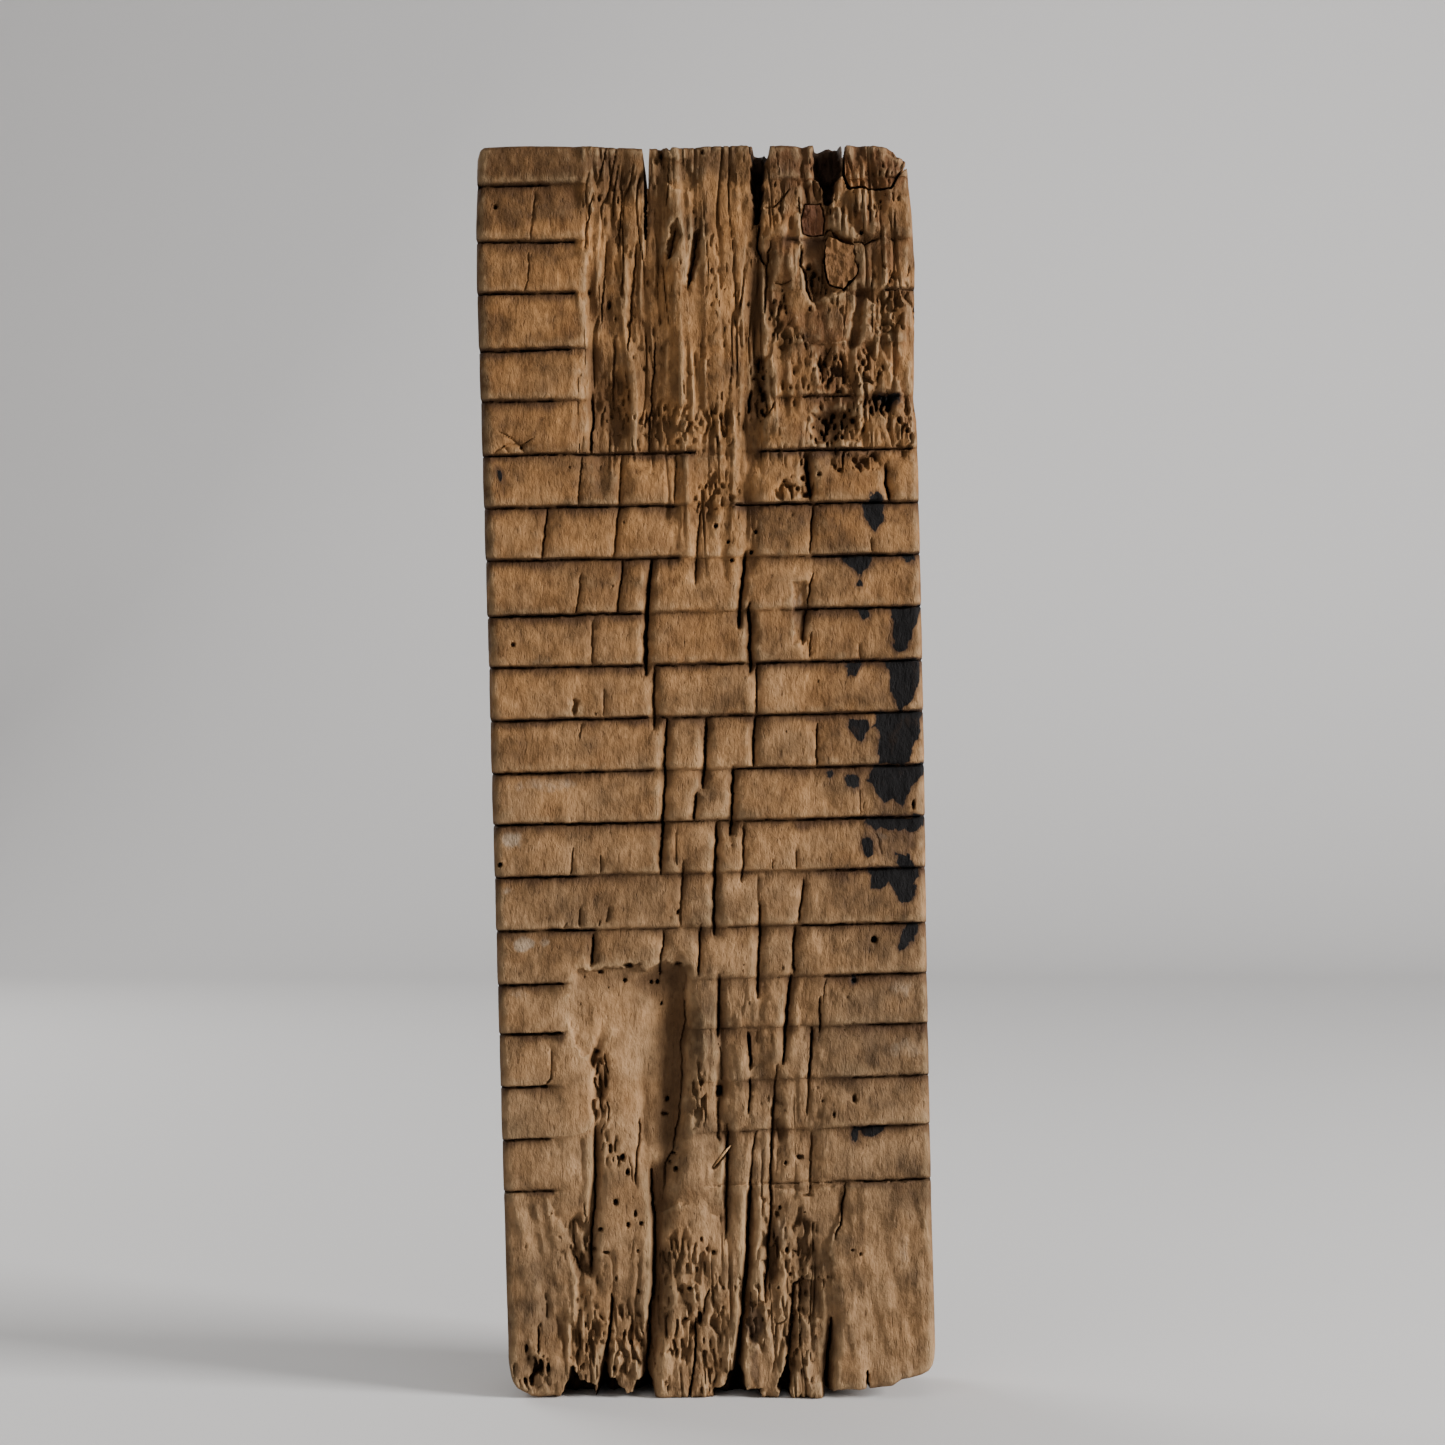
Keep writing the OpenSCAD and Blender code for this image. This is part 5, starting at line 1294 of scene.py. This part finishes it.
def old_wood(name, light, middle, dark, rub_and_highlight=0.35, masks=True, bump=0.8, tone=0.6):
    """Weathered wood: blotches, rings, fibres, flecks and pores between three tones, then wear, stains, painted
    highlights on crests and painted shade.
    """
    material = bpy.data.materials.new(name)
    material.use_nodes = True
    material.node_tree.nodes.clear()
    k = Wires(material.node_tree)
    grain = k.group(GRAIN, Where=k.make("ShaderNodeTexCoord", {}, "Object"))
    ring, fibre, coarse, pore, blotch, fleck = grain.values()
    colour = k.mix(k.ramp(blotch * 0.65 + coarse * 0.35, 0.38, 0.62), middle, light)
    for amount in (ring * 0.14, k.ramp(fibre, 0.50, 0.26) * k.ramp(blotch, 0.35, 0.62, 0.34, 0.10),
                   k.ramp(fleck, 0.56, 0.72) * 0.40, pore * 0.40):
        colour = k.mix(amount, colour, dark)
    values = {"Tone": tone}
    if masks:
        values = {mask.capitalize(): k.make("ShaderNodeAttribute", {}, "Fac", attribute_name=mask) for mask in MASKS}
    worn_and_shaded = k.group(WORN_AND_SHADED_GROUP, Wood=colour, Fleck=fleck, Fibre=fibre, Rub=rub_and_highlight, **values)
    height = fibre * 0.45 + coarse * 1.2 - pore * 0.25 + fleck * 0.8
    normal = k.make("ShaderNodeBump", {"Strength": bump, "Distance": 0.0013, "Height": height})
    shader = k.make("ShaderNodeBsdfPrincipled", {"Base Color": worn_and_shaded["Color"], "Roughness": worn_and_shaded["Roughness"],
                                                 "Specular IOR Level": 0.2, "Normal": normal})
    k.node("ShaderNodeOutputMaterial", {"Surface": shader})
    return material


WEATHERED = old_wood("weathered_plank_wood", (0.240, 0.143, 0.070), (0.148, 0.083, 0.037), (0.060, 0.027, 0.010))
CORNER = old_wood("brown_corner_wood", (0.225, 0.118, 0.052), (0.138, 0.069, 0.028), (0.060, 0.025, 0.009), rub_and_highlight=0.3)
ROTTED = {"rub_and_highlight": 0.3, "masks": False, "bump": 1.0, "tone": 0.5}
ROTTEN = old_wood("brown_rotted_wood", (0.150, 0.068, 0.034), (0.085, 0.035, 0.016), (0.030, 0.011, 0.005), **ROTTED)
BROWN_ROT = old_wood("orange_rotted_wood", (0.185, 0.098, 0.040), (0.112, 0.054, 0.021), (0.034, 0.014, 0.005),
                     **ROTTED)
RAW = old_wood("raw_split_wood", (0.44, 0.29, 0.155), (0.30, 0.18, 0.085), (0.13, 0.065, 0.025), masks=False)


# ---------------------------------------------------------------- the pieces
def add_piece(name, mesh, node, material):
    """Puts a finished mesh in the scene as the look of one node."""
    piece = link(name, mesh)
    mesh.materials.append(material)
    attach(piece, "root")
    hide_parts(node)
    return piece


board = thinned("board_wood", mesh_from("board", *loop_block()), BOARD_TRIANGLES)
paint(board, front.depth, front.masks)
add_piece("ribbed_plank", finish_mesh(board), "board", WEATHERED)

corner_top = [(60.2, 500.9)] + [p for p in TOP_EDGE if 60.5 < p[0] < 84.5] + [(84.5, 494.3)]
corner_shape = chunk(BLOCK_FOOT, corner_top, lambda x, z: front.sample(skin, x, z) + 0.8, SEAT_DEEP, 131)
corner = mesh_from("corner", *corner_shape)
paint(corner, skin, skin_masks)
add_piece("corner_chunk", finish_mesh(corner), "corner_block", CORNER)


def flake(name, outline, start, face, seed, node, material):
    """Loose rotted flake: the outline split into a lower and an upper side, with a crumbled front."""
    def crumbled(x, z):
        return face + 0.8 * layered(x / 3, z / 3, seed) + 0.8 * np.abs(field(x / 2.2, z / 6, seed + 4))

    shape = chunk(outline[:start], outline[:start - 1:-1], crumbled, POCKET_DEEP, seed, 44, 40, 10, ragged=True)
    add_piece(name, finish_mesh(mesh_from(name, *shape)), node, material)


flake("upper_rot_flake", UPPER_FLAKE, 3, 4.2, 141, "upper_flake", ROTTEN)
flake("lower_rot_flake", LOWER_FLAKE, 4, 2.4, 151, "lower_flake", BROWN_ROT)


def splinter_piece():
    """Thin sliver: an eight-sided section carried along a slightly bowed line, pointed at both ends."""
    rings, around = 40, 8
    t = np.linspace(0, 1, rings)[:, None]
    (x0, z0), (x1, z1) = SPLINTER
    bow = np.sin(np.pi * t)
    r = 0.12 + 0.36 * np.sin(np.pi * np.clip(t * 0.92 + 0.06, 0, 1)) ** 0.6
    turn = np.linspace(0, 2 * np.pi, around, endpoint=False)
    across = np.array([z1 - z0, x0 - x1]) / math.hypot(z1 - z0, x1 - x0)
    ring = np.stack([x0 + (x1 - x0) * t + r * np.cos(turn) * across[0],
                     -HALF + 3.6 - 1.5 * bow + 0.9 * r * np.sin(turn),
                     z0 + (z1 - z0) * t + 0.5 * bow + r * np.cos(turn) * across[1]], -1)
    ring += np.random.default_rng(161).uniform(-0.06, 0.06, ring.shape)
    index = np.arange(rings * around).reshape(rings, around)
    nxt = np.roll(index, -1, 1)
    faces = [quads_to_triangles(index[:-1], nxt[:-1], nxt[1:], index[1:])]
    for row, flip in ((0, False), (rings - 1, True)):
        fan = np.stack([np.full(around - 2, index[row, 0]), index[row, 2:], index[row, 1:-1]], -1)
        faces.append(fan[:, ::-1] if flip else fan)
    return ring.reshape(-1, 3), np.concatenate(faces)


add_piece("splinter_sliver", finish_mesh(mesh_from("splinter", *splinter_piece())), "splinter", RAW)


# ---------------------------------------------------------------- floor and light
def plain(name, colour, rough):
    """Material of one even colour."""
    material = bpy.data.materials.new(name)
    material.use_nodes = True
    shader = material.node_tree.nodes["Principled BSDF"]
    shader.inputs["Base Color"].default_value = (*colour, 1)
    shader.inputs["Roughness"].default_value = rough
    return material


def backdrop():
    """Floor that runs back and curves up into a wall, as one swept profile."""
    t = np.linspace(0, 1, 25) * math.pi / 2
    back_y, bend = 2.3, 0.5
    y = np.r_[-3.4, back_y - bend + bend * np.sin(t), back_y]
    z = np.r_[0, bend - bend * np.cos(t), 3.2]
    x = np.array([-3.6, 3.6])
    points = np.stack([np.tile(x, len(y)), np.repeat(y, 2), np.repeat(z, 2)], 1)
    a = np.arange(len(y) - 1) * 2
    triangles = quads_to_triangles(a, a + 1, a + 3, a + 2)
    piece = link("backdrop", mesh_from("backdrop", points, triangles))
    piece.data.polygons.foreach_set("use_smooth", np.ones(len(piece.data.polygons), bool))
    piece.data.materials.append(plain("pale_paper", (0.58, 0.575, 0.575), 0.8))


def lamp(name, place_at, aim, size, power, colour):
    """Rectangular soft lamp that faces a point."""
    data = bpy.data.lights.new(name, "AREA")
    data.shape = "RECTANGLE"
    data.size, data.size_y = size
    data.energy = power
    data.color = colour
    light = bpy.data.objects.new(name, data)
    bpy.context.scene.collection.objects.link(light)
    light.location = place_at
    away = np.array(place_at) - np.array(aim)
    light.rotation_euler = Vector(away).to_track_quat("Z", "Y").to_euler()


backdrop()
lamp("window", (2.45, -0.82, 1.0), (0, 0, 0.27), (0.8, 1.0), 172, (1.0, 0.98, 0.96))
lamp("fill", (-1.3, -1.5, 0.9), (0, 0, 0.25), (1.6, 1.6), 7, (1.0, 0.93, 0.84))
lamp("above", (0.1, -0.6, 1.6), (0, 0.05, 0.2), (1.2, 1.0), 5, (1.0, 0.99, 0.97))
lamp("rear", (-1.3, 1.2, 1.1), (0, 0, 0.25), (1.2, 1.2), 26, (1.0, 0.98, 0.95))
world = bpy.data.worlds.new("studio")
world.use_nodes = True
world.node_tree.nodes["Background"].inputs[0].default_value = (0.80, 0.82, 0.86, 1)
world.node_tree.nodes["Background"].inputs[1].default_value = 0.16
bpy.context.scene.world = world
